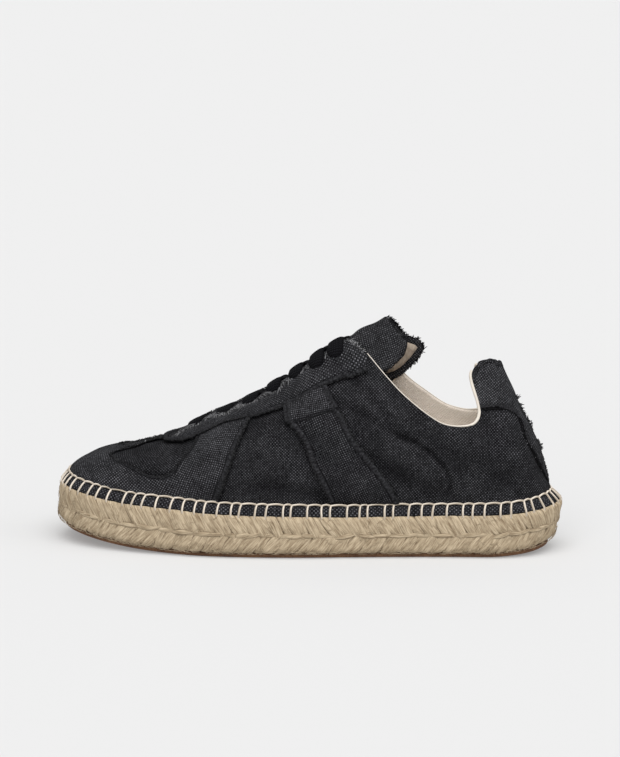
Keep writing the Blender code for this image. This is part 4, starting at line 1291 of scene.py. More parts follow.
# %% Strands
def lens(length, width, thick, blunt=0.35, rings=14, sides=14):
    """A strand: a long lens, from a sphere primitive, with its length and girth in its UV map."""
    bpy.ops.object.select_all(action="DESELECT")
    bpy.ops.mesh.primitive_uv_sphere_add(segments=sides, ring_count=rings, radius=1.0)
    piece = bpy.context.object
    points = read(piece.data.vertices, "co", 3)
    along = np.arcsin(np.clip(points[:, 2], -1, 1)) / (math.pi / 2)
    girth = np.maximum(np.cos(along * math.pi / 2), 0.0) ** blunt
    size = np.maximum(np.hypot(points[:, 0], points[:, 1]), 1e-9)
    round_x, round_y = points[:, 0] / size, points[:, 1] / size
    shaped = np.column_stack([along * length / 2, round_x * girth * width / 2,
                              round_y * girth * thick / 2])
    shaped[np.abs(points[:, 2]) > 0.9999, 1:] = 0.0
    values = read(piece.data.uv_layers[0].data, "uv", 2)[:, ::-1]
    values = values * [length, math.pi * (width + thick) / 2]
    piece.data.uv_layers[0].data.foreach_set("uv", values.ravel())
    return piece, shaped, np.maximum(np.abs(round_x), np.abs(along) ** 3)


SIDE_HEIGHT = 20.3        # of the rope's side, from level 0 to level 1


def braid_row(name, count, level, lean, size, out, seed, jitter=1.0):
    """A row of strands round the sole. Lean is their angle to the sole's length in degrees."""
    random = np.random.default_rng(seed)
    template, shape, groove = lens(*size)
    start = (np.arange(count) + random.uniform(-0.22, 0.22, count) * jitter) * PERIMETER / count
    tilt = np.radians(lean + random.uniform(-7, 7, count) * jitter)
    grow = random.uniform(0.94, 1.08, count)
    proud = out + random.uniform(-0.28, 0.28, count)[:, None] * jitter
    a, b, c = shape[:, 0], shape[:, 1], shape[:, 2]
    s = start[:, None] + (a * np.cos(tilt)[:, None] - b * np.sin(tilt)[:, None])
    rise = (a * np.sin(tilt)[:, None] + b * np.cos(tilt)[:, None]) * grow[:, None]
    levels = level + random.uniform(-0.012, 0.012, count)[:, None] + rise / SIDE_HEIGHT
    # Past the top and the bottom of the side a strand's tip turns in under its neighbours.
    over, under = np.maximum(levels - 0.98, 0), np.maximum(0.08 - levels, 0)
    levels = np.where(levels > 0.98, 0.98 + 0.10 * (1 - np.exp(-over / 0.10)), levels)
    levels = np.where(levels < 0.08, 0.08 - 0.14 * (1 - np.exp(-under / 0.14)), levels)
    tuck = 14.0 * over + 10.0 * under
    bow = -0.5 * (2 * a / size[0]) ** 2
    placed = sole_side(s.ravel(), levels.ravel(), (proud + c + bow - tuck).ravel())
    return joined_copies(name, template, placed.reshape(s.shape + (3,)),
                         random.uniform(0, 1, count), groove)

# %% [markdown]
# The strands of the two braids lean opposite ways, and those of the plait lie along the joint.
# Each has its own place, angle and size, and stands out a little more or less than the next.

# %% Braids and plait
for braid in (
        # name, strands, level, lean, (length, width, thickness, bluntness), out, seed, jitter
        ("jute_upper_braid", 136, 0.80, 122.0, (18.0, 6.8, 1.6, 0.2), -0.7, 11, 1.0),
        ("jute_lower_braid", 112, 0.22, 50.0, (17.0, 8.6, 1.4, 0.2), -0.9, 12, 1.0),
        ("jute_centre_plait", 92, 0.50, 3.0, (15.0, 2.8, 1.5, 0.8), -0.6, 13, 1.6)):
    finish_piece(braid_row(*braid), JUTE, "jute")

# %% [markdown]
# Jute is never smooth: fibres work loose and lie over the strands, most of them at the lower edge,
# where the rope rubs on the ground. They are yarns a tenth of a millimetre thick.

# %% Stray fibres
random = np.random.default_rng(14)
HAIRS = 1500
LOW_SHARE = 0.6           # of them, at the lower edge
begin = random.uniform(0, PERIMETER, HAIRS)
level = np.where(random.random(HAIRS) < LOW_SHARE, random.normal(0.0, 0.05, HAIRS),
                 random.uniform(0.05, 1.0, HAIRS))
bearing = random.normal(0, 0.9, HAIRS)
size = random.uniform(2.0, 6.0, HAIRS)
q = np.linspace(0, 1, 4)
curl = random.normal(0, 0.05, HAIRS)[:, None] * q * (1 - q) * 4
distance = begin[:, None] + size[:, None] * np.cos(bearing)[:, None] * q
heights = level[:, None] + (size * np.sin(bearing) / SIDE_HEIGHT)[:, None] * q + curl
out = 0.2 + random.uniform(-0.2, 0.3, HAIRS)[:, None] * q - 10.0 * np.maximum(0.04 - heights, 0)
routes = sole_side(distance.ravel(), np.clip(heights, -0.03, 1.04).ravel(), out.ravel())
hairs = yarns("jute_stray_fibres", routes.reshape(HAIRS, 4, 3), random.uniform(0.10, 0.18, HAIRS),
              random.uniform(0.4, 1.0, HAIRS))
finish_piece(hairs, JUTE, "jute")

# %% [markdown]
# ## Canvas upper
# The upper is cut from three pieces of washed canvas: vamp and two quarters. A cotton lining lies
# inside, and the hem slants down over the rope, where the blanket stitch holds it.

# %% Vamp, quarters and lining
CELL_LENGTH, UPPER_HEIGHT = 7.3, 62.0     # of a cell of u, and of t from 0 to 1, about


def sew_on(piece, at, thick, material, slot, node, offset=-1.0, turn=0.0, method="CONFORMAL",
           keep=None):
    """What every sheet goes through: faces out, unwrapped, cut, thickened and finished."""
    face_out(piece)
    unwrap(piece, at, turn, method)
    if keep is not None:
        cut_out(piece, keep)
    apply_solidify(piece, thick, offset)
    return finish_piece(piece, material, slot, node)


def cloth_sheet(name, u_from, u_to, t_to, cell=1.0, lift=0.0, short=0.0, lean=0.0):
    """A sheet of cloth between two places round the upper, from the feather line up to t_to.

    Short is how much lower it ends under the tab, lean how far it leans in at the bottom.
    """
    u = np.linspace(u_from, u_to, int((u_to - u_from) * CELL_LENGTH / cell) + 1)[None]
    t = np.linspace(0.0, t_to, int(UPPER_HEIGHT * t_to / cell) + 1)[:, None]
    u, t = np.broadcast_arrays(u, t)
    t = t * (1 - short * np.clip(np.abs(u) - 33.6, 0, 1))
    piece = grid_piece(name, on_cloth(u, t, lift - lean * np.clip(1 - t / 0.2, 0, 1)))
    # Proud places are painted lighter and creases darker: partly washing wear, partly painted
    # shade.
    set_values(piece, worn=wear_and_crease_shade(u, t))
    return piece


for name, start, end, at, lift, method in (
        ("vamp_canvas", -15.5, 15.5, (-70, 0, 62), -0.25, "MINIMUM_STRETCH"),
        ("quarter_outer_canvas", -40, -12, (0, -40, 60), 0.0, "CONFORMAL"),
        ("quarter_inner_canvas", 12, 40, (0, 40, 60), 0.0, "CONFORMAL")):
    piece = cloth_sheet(name, start, end, 0.995, lift=lift)
    sew_on(piece, at, 0.8, CANVAS, "charcoal_canvas", "upper", method=method)

for name, start, end in (("lining_outer", -40, 0), ("lining_inner", 0, 40)):
    lining = cloth_sheet(name, start, end, 1.0, cell=2.0, lift=-1.2, short=0.08, lean=1.0)
    sew_on(lining, (60, -30 if start < 0 else 30, 60), 0.5, COTTON, "cream_cotton", "upper")

# %% [markdown]
# The collar is a strip of the lining's cotton, rolled over the canvas and sewn down. It is a cord
# that swells towards the heel, where it is padded, and its end hides under the tab.

# %% Collar
def swell(u, start, end, ramp):
    """0 outside start and end, 1 between them, with soft ramps."""
    return np.clip((u - start) / ramp, 0, 1) * np.clip((end - u) / ramp, 0, 1)


u = np.linspace(21.2, 34.6, 260)
radius = 0.3 + 0.3 * swell(u, 26.5, 35.4, 2.5) + 0.5 * swell(u, 29.5, 35.6, 1.5)
lift = -0.6 - 0.5 * swell(u, 27.0, 35.4, 2.0)
beyond = 0.1 + 0.4 * swell(u, 27.0, 35.4, 2.0) + 0.8 * swell(u, 30, 35.6, 2.0)
for side, name in ((-1, "outer"), (1, "inner")):
    edge, inner = (on_cloth(side * u, np.full(260, t), lift) for t in (1.0, 0.97))
    line = edge + unit(edge - inner) * beyond[:, None]
    roll = cord("collar_roll_" + name, [line], 1.0, 3, radius)
    finish_piece(roll, ROLL, "cream_cotton", "upper")

# %% [markdown]
# The hem is the lower edge of the canvas, turned out over the rope. It goes all the way round in
# one strip with a soft belly, so it is a ring of seven rows.

# %% Hem
HEM_ROWS = np.linspace(0, 1, 7)
around = np.linspace(0, PERIMETER, 901)
foot, _, x = loop_at(around, np.full(901, FEATHER_INSET))
edge, _, _ = loop_at(around, HEM_INSET + toe_lean(x))
foot = np.column_stack([foot, rim_height(x) + HEM_RISE])
edge = np.column_stack([edge, rim_height(x) - 0.2])
out_way = loop_at(around)[1]
slope_out = np.column_stack([out_way, np.full(901, 1.0)]) / math.sqrt(2)
hem = grid_piece("canvas_hem", np.stack([
    foot + (edge - foot) * row + slope_out * 0.9 * math.sin(math.pi * row) for row in HEM_ROWS]))
face_out(hem)
set_uv(hem, np.stack([uv_line(0.75 * around, 5.6 * row) for row in HEM_ROWS]))
set_values(hem, worn=np.full((7, 901), 0.9))
apply_solidify(hem, 1.0, -1.0)
finish_piece(hem, CANVAS, "charcoal_canvas", "upper")

# %% [markdown]
# ## Panels with raw edges
# Toe piece, eyestay, stripes and heel patch are sewn over the upper and left raw at their edges.
# Each is cut from a sheet along its threads, and stands up a little in a puffy roll at the edge.

# %% Raw edges of a panel
def eyestay_edge(u):
    """Lower edge of the eyestay at u, as t."""
    return smooth(column(EYESTAY_EDGE, 0), column(EYESTAY_EDGE, 1), np.abs(u))


def away_from(points, lines):
    """Distance of each point from the nearest of some lines, all in millimetres."""
    flat = points.reshape(-1, 3)
    nearest = np.min([nearest_on(line, flat)[0] for line in lines], axis=0)
    return nearest.reshape(points.shape[:-1])


def raised(spots, t, edges, lift=0.7, low=0.13):
    """Lift of a panel: a frayed roll along each raw edge, a stitched groove behind it, then flat.

    Edges are (line, height of the roll, width of the band). Also gives the band, and the groove as
    painted shade.
    """
    high, dip, fringe, seam = (np.zeros(t.shape) for _ in range(4))
    for line, roll, band in edges:
        away = away_from(spots, [line])
        high = np.maximum(high, roll * np.exp(-((away - 0.42 * band) / (0.42 * band)) ** 2))
        groove = np.exp(-((away - band) / 0.55) ** 2)
        dip = np.maximum(dip, 0.4 * np.exp(-(away / 0.5) ** 2) + 0.4 * roll * groove)
        fringe = np.maximum(fringe, np.clip((band - away) / 0.8, 0, 1))
        # The stitched groove is painted darker: painted shade.
        seam = np.maximum(seam, groove)
    return (lift + high - dip) * (0.25 + 0.75 * np.clip(t / low, 0, 1) ** 0.7), fringe, seam


def inside(polygon, points):
    """Which points of a plane lie inside a polygon."""
    x, y = points[:, 0], points[:, 1]
    odd = np.zeros(len(points), bool)
    for (ax, ay), (bx, by) in zip(polygon, np.roll(polygon, -1, axis=0)):
        crosses = (ay > y) != (by > y)
        odd ^= crosses & (x < (bx - ax) * (y - ay) / (by - ay + 1e-12) + ax)
    return odd


print("eyestay's lower edge at the toe and its end:", np.round(eyestay_edge([0, EYESTAY_END]), 3))

# %% [markdown]
# A panel is a sheet over its own grid of (u, t), raised by a roll along each raw edge. What lies
# outside its outline is cut away, and the sheet is then given its thickness.

# %% A panel
PANEL_EDGES = []


def panel(name, u, t, edges, at, node, turn=0.0, keep=None, lift=0.7, thick=0.8, bleach_and_painted_shade=0.0,
          fluff=0.0, method="CONFORMAL"):
    """A canvas panel over grids of u and t. Its raw edges are (line of (u, t), roll, band)."""
    lines = [(on_upper(line[:, 0], line[:, 1]), roll, band) for line, roll, band in edges]
    PANEL_EDGES.extend(line[0] for line in lines)
    high, fringe, seam = raised(on_upper(u, t), t, lines, lift)
    piece = grid_piece(name, on_cloth(u, t, high))
    # Each panel's own paleness adds to the relief's tone; a negative value is painted shade.
    set_values(piece, fringe=np.maximum(fringe, fluff), seam=seam, worn=wear_and_crease_shade(u, t) + bleach_and_painted_shade)
    return sew_on(piece, at, thick, PANEL_CANVAS, "charcoal_canvas_panel", node, 1.0, turn,
                  method, keep)

# %% [markdown]
# The toe piece covers the forefoot from side to side. Two windows are cut in it, and the strip
# that is left between them is the stem of a T. It lies flattest of all the panels.

# %% Toe piece
across = np.linspace(-1, 1, 381)
top = eyestay_edge(across * 14.0) + 0.03
t = 0.012 + (top - 0.012) * np.linspace(0, 1, 101)[:, None]
u = across * (FOREFOOT_REAR[0] + FOREFOOT_REAR[1] * t)
window = np.array(TOE_WINDOW)
closed = np.concatenate([window, window[:1]])
edges = [(closed, 0.3, 1.2), (closed * [-1, 1], 0.3, 1.2), (uv_line(u[:, 0], t[:, 0]), 1.2, 2.8),
         (uv_line(u[:, -1], t[:, -1]), 1.2, 2.8)]
pairs = uv_line(np.abs(u).ravel(), t.ravel())
panel("toe_overlay_canvas", u, t, edges, (-90, -36, 42), "toe_overlay",
      keep=~inside(window, pairs), lift=0.35, thick=0.6, bleach_and_painted_shade=0.9, fluff=0.05,
      method="MINIMUM_STRETCH")

# %% [markdown]
# The eyestay frames the throat. The laces pull it down where they cross it, and between them it
# stands up in puffs, where the wash has taken off more of the dye.

# %% Eyestay
u = np.broadcast_to(np.linspace(-EYESTAY_END, EYESTAY_END, 401), (22, 401))
edge = eyestay_edge(u[0])
t = edge + (0.99 - edge) * np.linspace(0, 1, 22)[:, None]
LACE_U = (9.9, 12.0, 14.0, 15.8, 17.4, 19.0, 20.3)


def puff(u, t):
    """How far the eyestay stands up between the laces, which pull it down."""
    gap = np.min(np.abs(np.abs(u)[..., None] - np.array(LACE_U)), axis=-1)
    front = np.clip((20.5 - np.abs(u)) / 4, 0, 1) * np.clip((np.abs(u) - 4) / 4, 0, 1)
    rise = np.sin(np.clip(gap / 0.9, 0, 1) * math.pi / 2) ** 2
    return front * rise * np.clip((t - 0.8) / 0.12, 0, 1) * np.where(u > 0, 0.3, 1.0)


def stay_lift(u, t):
    """Height of the eyestay's underside over the cloth."""
    return 1.05 - 0.7 * np.clip(u / 3, 0, 1) * np.clip((t - 0.72) / 0.12, 0, 1) + puff(u, t)


panel("eyestay_canvas", u, t, [(uv_line(u[0], t[0]), 1.1, 2.2)], (-20, -20, 85), "eyestay",
      lift=stay_lift(u, t),
      bleach_and_painted_shade=0.5 + 1.2 * np.clip((t - 0.82) / 0.05, 0, 1) * np.clip((18 - np.abs(u)) / 2, 0, 1))

# %% [markdown]
# Each side stripe is two sheets: a long one from the hem to the eyestay, and a short paler one
# sewn over its upper end, cut along other threads.

# %% Side stripes
def stripe_grid(side, low, high, rows, wider=(0.0, 0.0)):
    """Grids of u and t on a side stripe, between two slanted edges given by their ends in t."""
    across = np.linspace(0, 1, 81)
    bottom, top = (ends[0] + (ends[1] - ends[0]) * across for ends in (low, high))
    t = bottom + (top - bottom) * np.linspace(0, 1, rows)[:, None]
    front, rear = (smooth(column(SIDE_STRIPE, 0), column(SIDE_STRIPE, k), t.ravel())
                   .reshape(t.shape) for k in (1, 2))
    front, rear = front - wider[0], rear + wider[1]
    return (front + (rear - front) * across) * side, t


for side, name in ((-1, "side_stripe_outer"), (1, "side_stripe_inner")):
    u, t = stripe_grid(side, (0.015, 0.015), (0.705, 0.635), 81)
    edges = [(uv_line(u[:, 0], t[:, 0]), 0.9, 2.4), (uv_line(u[:, -1], t[:, -1]), 1.1, 2.6)]
    # The long stripe is painted darker towards the hem: painted shade.
    panel(name + "_canvas", u, t, edges, (20, 36 * side, 60), name, turn=18.0,
          bleach_and_painted_shade=-0.7 * np.clip((0.35 - t) / 0.3, 0, 1))
    u, t = stripe_grid(side, (0.515, 0.468), (0.715, 0.645), 31, wider=(0.2, 0.1))
    edges = [(uv_line(u[:, 0], t[:, 0]), 0.8, 1.8), (uv_line(u[:, -1], t[:, -1]), 0.9, 1.8),
             (uv_line(u[0], t[0]), 0.3, 0.9)]
    panel(name.replace("stripe", "stripe_top") + "_canvas", u, t, edges, (20, 36 * side, 80),
          name, turn=38.0, lift=1.6, thick=0.6, bleach_and_painted_shade=1.2)

# %% [markdown]
# The heel patch is a T as well: its arms reach round to the collar, and its stem runs down the
# back. It goes round the heel in one sheet, and the T is cut out of it as it is seen from the side.

# %% Heel patch
u = np.linspace(-30, -50, 281)
u = np.where(u < -40, u + 80, u)
t = np.linspace(0.012, 0.985, 111)[:, None]
u, t = np.broadcast_arrays(u, t)
spots = on_upper(u, t)
border = np.array(HEEL_BORDER)
outline = np.concatenate([rounded(border), [(138.2, 20.0), (80.0, 20.0), (80.0, 84.0)]])
keep = ~inside(outline, spots.reshape(-1, 3)[:, [0, 2]])
lines = [np.stack([pattern_from_side(x, z, side) for x, z in border]) for side in (-1, 1)]
lines = [form(rounded(line, 4)) for line in lines]
high, fringe, seam = raised(spots, t, [(line, 0.4, 2.0) for line in lines], lift=0.15, low=0.4)
heel = grid_piece("heel_patch_canvas", on_cloth(u, t, high))
# Painted shade in the stitched grooves. The patch is paler than the quarters, and painted light
# makes it lighter still towards the tab's top.
set_values(heel, fringe=fringe, seam=0.7 * seam,
           worn=wear_and_crease_shade(u, t) + 0.8 + 1.2 * np.clip((t - 0.5) / 0.4, 0, 1))
PANEL_EDGES.extend(lines)
sew_on(heel, (110, -16, 95), 0.5, PANEL_CANVAS, "charcoal_canvas_panel", "heel_patch",
       offset=1.0, method="MINIMUM_STRETCH", keep=keep)

# %% [markdown]
# Along the panels' edges the cloth under them gets a painted contact shadow. Each sheet under the
# panels stores how near an edge is, and the canvas is painted darker there.

# %% Shaded seams
for name in ("vamp_canvas", "quarter_outer_canvas", "quarter_inner_canvas"):
    piece = bpy.data.objects[name]
    spots = read(piece.data.vertices, "co", 3) / MM
    away = away_from(spots, [line[::2] for line in PANEL_EDGES])
    # Painted contact shadow, within a millimetre or two of each panel's edge.
    set_values(piece, seam=0.85 * np.exp(-(away / 1.2) ** 2))
    print(f"{name}: {np.mean(away < 2.4):.0%} of it lies in the shade of an edge")

# %% [markdown]
# At the top of the heel tab the patch is folded over the lining. The fold is a strip of its own:
# half a circle over the edge, then a flap that lies inside.

# %% Tab fold
steps = np.linspace(-34.0, -46.0, 141)
u = np.where(steps < -40, steps + 80, steps)
foot = on_cloth(u, np.full(141, 0.95), 0.8)
edge = on_cloth(u, np.full(141, 0.985), -0.35)
below = on_cloth(u, np.full(141, 0.95), -0.35)
inner = on_cloth(u, np.full(141, 0.89), -0.75)
up_way, away = unit(edge - below), unit(foot - below)
size = 0.7 + 0.5 * swell(np.abs(u), 34.0, 42.0, 1.0)
rows = [foot]
for angle in np.radians(np.linspace(0, 180, 11)):
    rows.append(edge + size[:, None] * (away * math.cos(angle) + up_way * math.sin(angle)))
fold = grid_piece("tab_fold_canvas", np.stack(rows + [inner]))
sew_on(fold, (104, -6, 108), 0.4, PANEL_CANVAS, "charcoal_canvas_panel", "heel_patch")

# %% [markdown]
# ## Frayed edges
# The raw edges have lost their last threads, so the cross threads stick out as short loose yarns.
# Most lie close and dark, and a few long pale ones curl away. Each is a thin tapered tube that
# starts on the panel's roll, and bends down over its edge.

# %% Frames of raw edges
FRAME_STEP = 0.3          # between two points of a frame


def edge_frame(line, side):
    """Points, normals and ways off the panel along a raw edge given as (u, t)."""
    rough = on_upper(line[:, 0], line[:, 1])
    run = run_along(rough)
    u, t = on_line(line, run, np.linspace(0, run[-1], int(run[-1] / FRAME_STEP) + 2)).T
    points = on_cloth(u, t)
    normal = form_normal(pattern_at(u, t))
    along = unit(np.gradient(points, axis=0))
    return points, normal, along, np.cross(normal, along) * side


def frame_of(points, off, centre=(95, 0, 60)):
    """An edge frame from points and ways off the panel. Its normals point away from centre."""
    along = unit(np.gradient(points, axis=0))
    off = unit(np.array(off))
    off = unit(off - along * np.sum(along * off, axis=1)[:, None])
    normal = np.cross(along, off)
    normal *= np.sign(np.sum(normal * (points - centre), axis=1))[:, None]
    return points, normal, along, off

# %% [markdown]
# A yarn end starts a little inside the edge, rises, and bends over it. Tufts are longer in places,
# one yarn in eight is long, and a few are pale where the dye has gone.

# %% Loose yarn ends
LONG_SHARE, WILD_SHARE = 0.12, 0.15       # of the yarn ends
YARN_POINTS = 4


def fray(name, edges, seed, density, reach, pale, height, inset, fall=(1.2, 2.0), clump=0.5,
         thick=(0.2, 0.36), light=1.0, deep=0.12):
    """Loose yarn ends along edges, density of them to a millimetre.

    Reach, inset, fall and thick are ranges in millimetres: how long the ends are, where they start
    behind the edge, how far they bend down, and their radius. Pale is the share of washed-out ones.
    """
    random = np.random.default_rng(seed)
    routes, radii, shades = [], [], []
    q = np.linspace(0, 1, YARN_POINTS)[:, None]
    for points, normal, along, off in edges:
        length = np.linalg.norm(np.diff(points, axis=0), axis=1).sum()
        knots = random.uniform(1 - clump, 1 + clump, int(length / 2.5) + 2)
        tuft = np.interp(np.linspace(0, 1, len(points)), np.linspace(0, 1, len(knots)), knots)
        for _ in range(int(length * density)):
            k = random.integers(len(points))
            long = random.random() < LONG_SHARE
            size = random.uniform(*reach) * tuft[k] * (1.5 if long else 1.0)
            slip = random.normal(0, 1.2 if random.random() < WILD_SHARE else 0.45)
            way = off[k] * math.cos(slip) + along[k] * math.sin(slip)
            root = points[k] - off[k] * random.uniform(*inset) + normal[k] * height
            rise = random.uniform(0.1, 0.7) * (1.8 if long else 1.0)
            drop = random.uniform(*fall) * (0.7 if long else 1.0)
            curl = along[k] * random.normal(0, 0.5)
            routes.append(root + way * size * q + normal[k] * (rise * q - (rise + drop) * q ** 2)
                          + curl * q ** 2)
            radii.append(random.uniform(*thick))
            shades.append(light * random.random() ** 1.5 if random.random() < pale
                          else deep * random.random())
    piece = yarns(name, np.array(routes), radii, np.array(shades))
    return finish_piece(piece, FRAYED, "charcoal_canvas_panel")

# %% [markdown]
# The long edges have short dark fringes, close together: their threads were pulled by the wash.

# %% Fray of the toe piece, the eyestay and the stripes
rise_t = np.linspace(0.02, 0.76, 40)
forefoot_u = FOREFOOT_REAR[0] + FOREFOOT_REAR[1] * rise_t
forefoot = [edge_frame(uv_line(-forefoot_u, rise_t), 1),
            edge_frame(uv_line(forefoot_u, rise_t), -1)]
fray("forefoot_fray", forefoot, 21, density=6.0, reach=(0.6, 1.7), pale=0.0, height=1.9,
     inset=(-0.1, 1.4))
windows = [edge_frame(closed * [-1, 1], -1), edge_frame(closed, 1)]
fray("window_fray", windows, 22, density=4.0, reach=(0.4, 1.2), pale=0.0, height=1.0,
     inset=(-0.1, 0.8))
stay_u = np.linspace(-EYESTAY_END, EYESTAY_END, 200)
lower = [edge_frame(uv_line(stay_u, eyestay_edge(stay_u)), -1)]
fray("eyestay_fray", lower, 23, density=6.0, reach=(0.5, 1.5), pale=0.0, height=2.1,
     inset=(-0.1, 1.0))
stripe_t = np.linspace(0.02, 0.70, 50)
stripe_edges = []
for side, index, facing in ((-1, 1, -1), (-1, 2, 1), (1, 1, 1), (1, 2, -1)):
    stripe_u = smooth(column(SIDE_STRIPE, 0), column(SIDE_STRIPE, index), stripe_t) * side
    stripe_edges.append(edge_frame(uv_line(stripe_u, stripe_t), facing))
fray("stripe_fray", stripe_edges, 24, density=6.0, reach=(0.6, 1.6), pale=0.0, height=1.7,
     inset=(-0.1, 1.4))

# %% [markdown]
# The heel patch has lost more threads. Its borders are thick with short yarns, and tufts stand up
# along the middle of the back.

# %% Fray of the heel patch
borders = []
for line in lines:
    run = run_along(line)
    spots = on_line(line, run, np.linspace(7.0, run[-1] - 8.0, 240))
    borders.append(frame_of(spots, (-0.8, 0, -0.6)))
fray("heel_fray", borders, 27, density=8.0, reach=(0.5, 1.4), pale=0.02, height=1.0,
     inset=(-0.3, 1.0), thick=(0.3, 0.5), deep=0.03)
back_t = np.linspace(0.28, 0.66, 60)
back_line = on_cloth(np.full(60, 39.3), back_t, 0.6)
fray("heel_tufts", [frame_of(back_line, (1.0, 0.5, 0.5))], 28, density=16.0, reach=(0.6, 1.6),
     pale=0.0, height=0.2, inset=(0.0, 2.2), fall=(-0.1, 0.5), clump=0.75, thick=(0.3, 0.5))

# %% [markdown]
# Round the throat the laces rub, so the yarns are paler and longer there. They stick out between
# the laces, over the stem of the T and at the throat's corners.

# %% Fray round the throat
throat = [edge_frame(uv_line(np.linspace(-20.8, 20.8, 240), 0.965), 1)]
fray("throat_fray", throat, 25, density=4.0, reach=(1.0, 2.4), pale=0.6, height=2.0,
     inset=(0.0, 1.5), fall=(0.2, 0.8))
# Loose weft hangs down over the puffs between the laces.
rib_u = np.linspace(-20.4, -4.0, 260)
ribs = []
for u in (rib_u, -rib_u):
    roots, feet = (on_cloth(u, np.full(260, t), stay_lift(u, np.full(260, t)) + 0.8)
                   for t in (0.93, 0.82))
    ribs.append(frame_of(roots, feet - roots, (0, 0, -300)))
fray("eyestay_ribs", ribs, 29, density=9.0, reach=(2.0, 4.6), pale=0.9, height=0.25,
     inset=(-0.8, 1.0), fall=(0.0, 0.3), clump=0.25, thick=(0.28, 0.42), light=0.75)
stem = [edge_frame(uv_line(0.3 * side, np.linspace(0.62, 0.84, 60)), side) for side in (-1, 1)]
fray("stem_fray", stem, 31, density=14.0, reach=(0.8, 2.2), pale=0.03, height=0.9,
     inset=(-0.4, 0.8), fall=(-0.9, 0.1), clump=0.9, thick=(0.25, 0.4))
corner_u = np.linspace(20.4, 22.2, 30)
corners = [edge_frame(uv_line(corner_u * side, 0.97), -side) for side in (-1, 1)]
fray("corner_fray", corners, 26, density=12.0, reach=(0.8, 2.0), pale=0.8, height=2.0,
     inset=(-0.4, 1.2))

# %% [markdown]
# ## Tongue and laces
# The tongue is a padded strip of the same canvas, lined with cotton. Its end stands free and wraps
# round the instep. Seven flat laces cross the throat and dive into the eyelets.

# %% Tongue
TONGUE_END = 42.0         # station of the middle of its free end
EARS, INNER_EAR = 18.5, 7.0       # how much farther its corners reach, and the inner one again
EAR_CUT = 4.5             # how far the corners are rounded off


def tongue_points(depth, rows=121, columns=61, inset=0.0, back=0.0):
    """Points of the tongue at a depth below its outer face."""
    across = np.linspace(-1 + inset, 1 - inset, columns)
    along = np.linspace(0, 1, rows)[:, None]
    start = TONGUE[0][0]
    reach = EARS * np.abs(across) ** 1.15 + INNER_EAR * np.maximum(across, 0) ** 4
    cut = EAR_CUT * np.clip((np.abs(across) - 0.78) / 0.22, 0, 1) ** 2.2
    reach = TONGUE_END + reach - cut - back
    x = start + (reach - start) * along
    bend = np.broadcast_to(across, x.shape).ravel()
    table = column(TONGUE, 0)
    flat = x.ravel()
    half, middle, outer, inner = (smooth(table, column(TONGUE, k), flat) for k in (1, 2, 3, 4))
    edge = np.where(bend < 0, outer, inner)
    pattern = np.column_stack([flat, ridge_y(flat) + half * bend])
    points = form(pattern) - form_normal(pattern) * (WALL + TONGUE_GAP + depth)
    narrow = 11 - 8 * np.clip((flat - 28) / 14, 0, 1)
    points[:, 2] += edge + (middle - edge) * (1 - bend ** 2) ** narrow
    return points.reshape(x.shape + (3,))


sew_on(grid_piece("tongue_canvas", tongue_points(0.0)), (20, 0, 118), 1.5, TONGUE_CANVAS,
       "charcoal_canvas", "tongue", turn=45.0)
lower = tongue_points(1.7, rows=71, columns=41, inset=0.09, back=1.5)
# The tongue's lining gets the darker cotton: painted shade.
sew_on(grid_piece("tongue_lining", lower), (20, 0, 118), 0.8, COTTON_IN_PAINTED_SHADE, "cream_cotton", "tongue")

# %% [markdown]
# The tongue's end and the two sides near it are raw as well. Their yarns are shorter, and they lie
# in the plane of the tongue.

# %% Tongue fringe
face = tongue_points(0.6)
below = tongue_points(1.6)


def fringe_frame(line, behind, under):
    """An edge frame from a line of points, a line behind it and a line under it."""
    run = run_along(line)
    even = np.linspace(0, run[-1], 160)
    spots, back_spots, low_spots = (on_line(part, run, even) for part in (line, behind, under))
    along = unit(np.gradient(spots, axis=0))
    return spots, unit(spots - low_spots), along, unit(spots - back_spots)


FREE_ROW = 84             # from this row of points the tongue stands free of the throat
fringes = [fringe_frame(face[-1], face[-5], below[-1]),
           fringe_frame(face[FREE_ROW:, 0], face[FREE_ROW:, 2], below[FREE_ROW:, 0]),
           fringe_frame(face[FREE_ROW:, -1], face[FREE_ROW:, -3], below[FREE_ROW:, -1])]
fray("tongue_fringe", fringes, 30, density=9.0, reach=(0.9, 2.3), pale=0.03, height=0.0,
     inset=(-0.1, 1.4), fall=(-0.2, 0.6), clump=0.5, thick=(0.3, 0.5), deep=0.06)

# %% [markdown]
# A lace is a flat braided band. It bridges the throat, sags between the eyelets, and at each end
# it narrows and dives into its eyelet. Rings of points along it make the band.

# %% Laces
LACE_SAG, LAST_LACE_SAG = 2.7, 4.0
INNER_DROP = 1.9          # the inner side of a lace lies lower than the outer side
DIVE_FROM = 0.82          # where a lace starts to go down into its eyelet, 1 at the eyelet
LACE_WIDER, LACE_THICKER = 2.2, 1.2       # worn laces have swollen
LACE_SIDES = 20           # of a lace's cross-section


def lace_ring(centre, ahead, normal, width, thick):
    """A flat lace's cross-section, as points round it."""
    angle = np.arange(LACE_SIDES) * 2 * math.pi / LACE_SIDES
    wide = np.sign(np.cos(angle)) * np.abs(np.cos(angle)) ** 0.8 * width / 2
    high = np.sign(np.sin(angle)) * np.abs(np.sin(angle)) ** 0.8 * thick / 2
    return centre + wide[:, None] * ahead + high[:, None] * normal


def close_up(work):
    """Joins a tube along its length and caps its ends."""
    bmesh.ops.remove_doubles(work, verts=work.verts, dist=1e-6)
    bmesh.ops.holes_fill(work, edges=[edge for edge in work.edges if edge.is_boundary])
    bmesh.ops.recalc_face_normals(work, faces=work.faces)


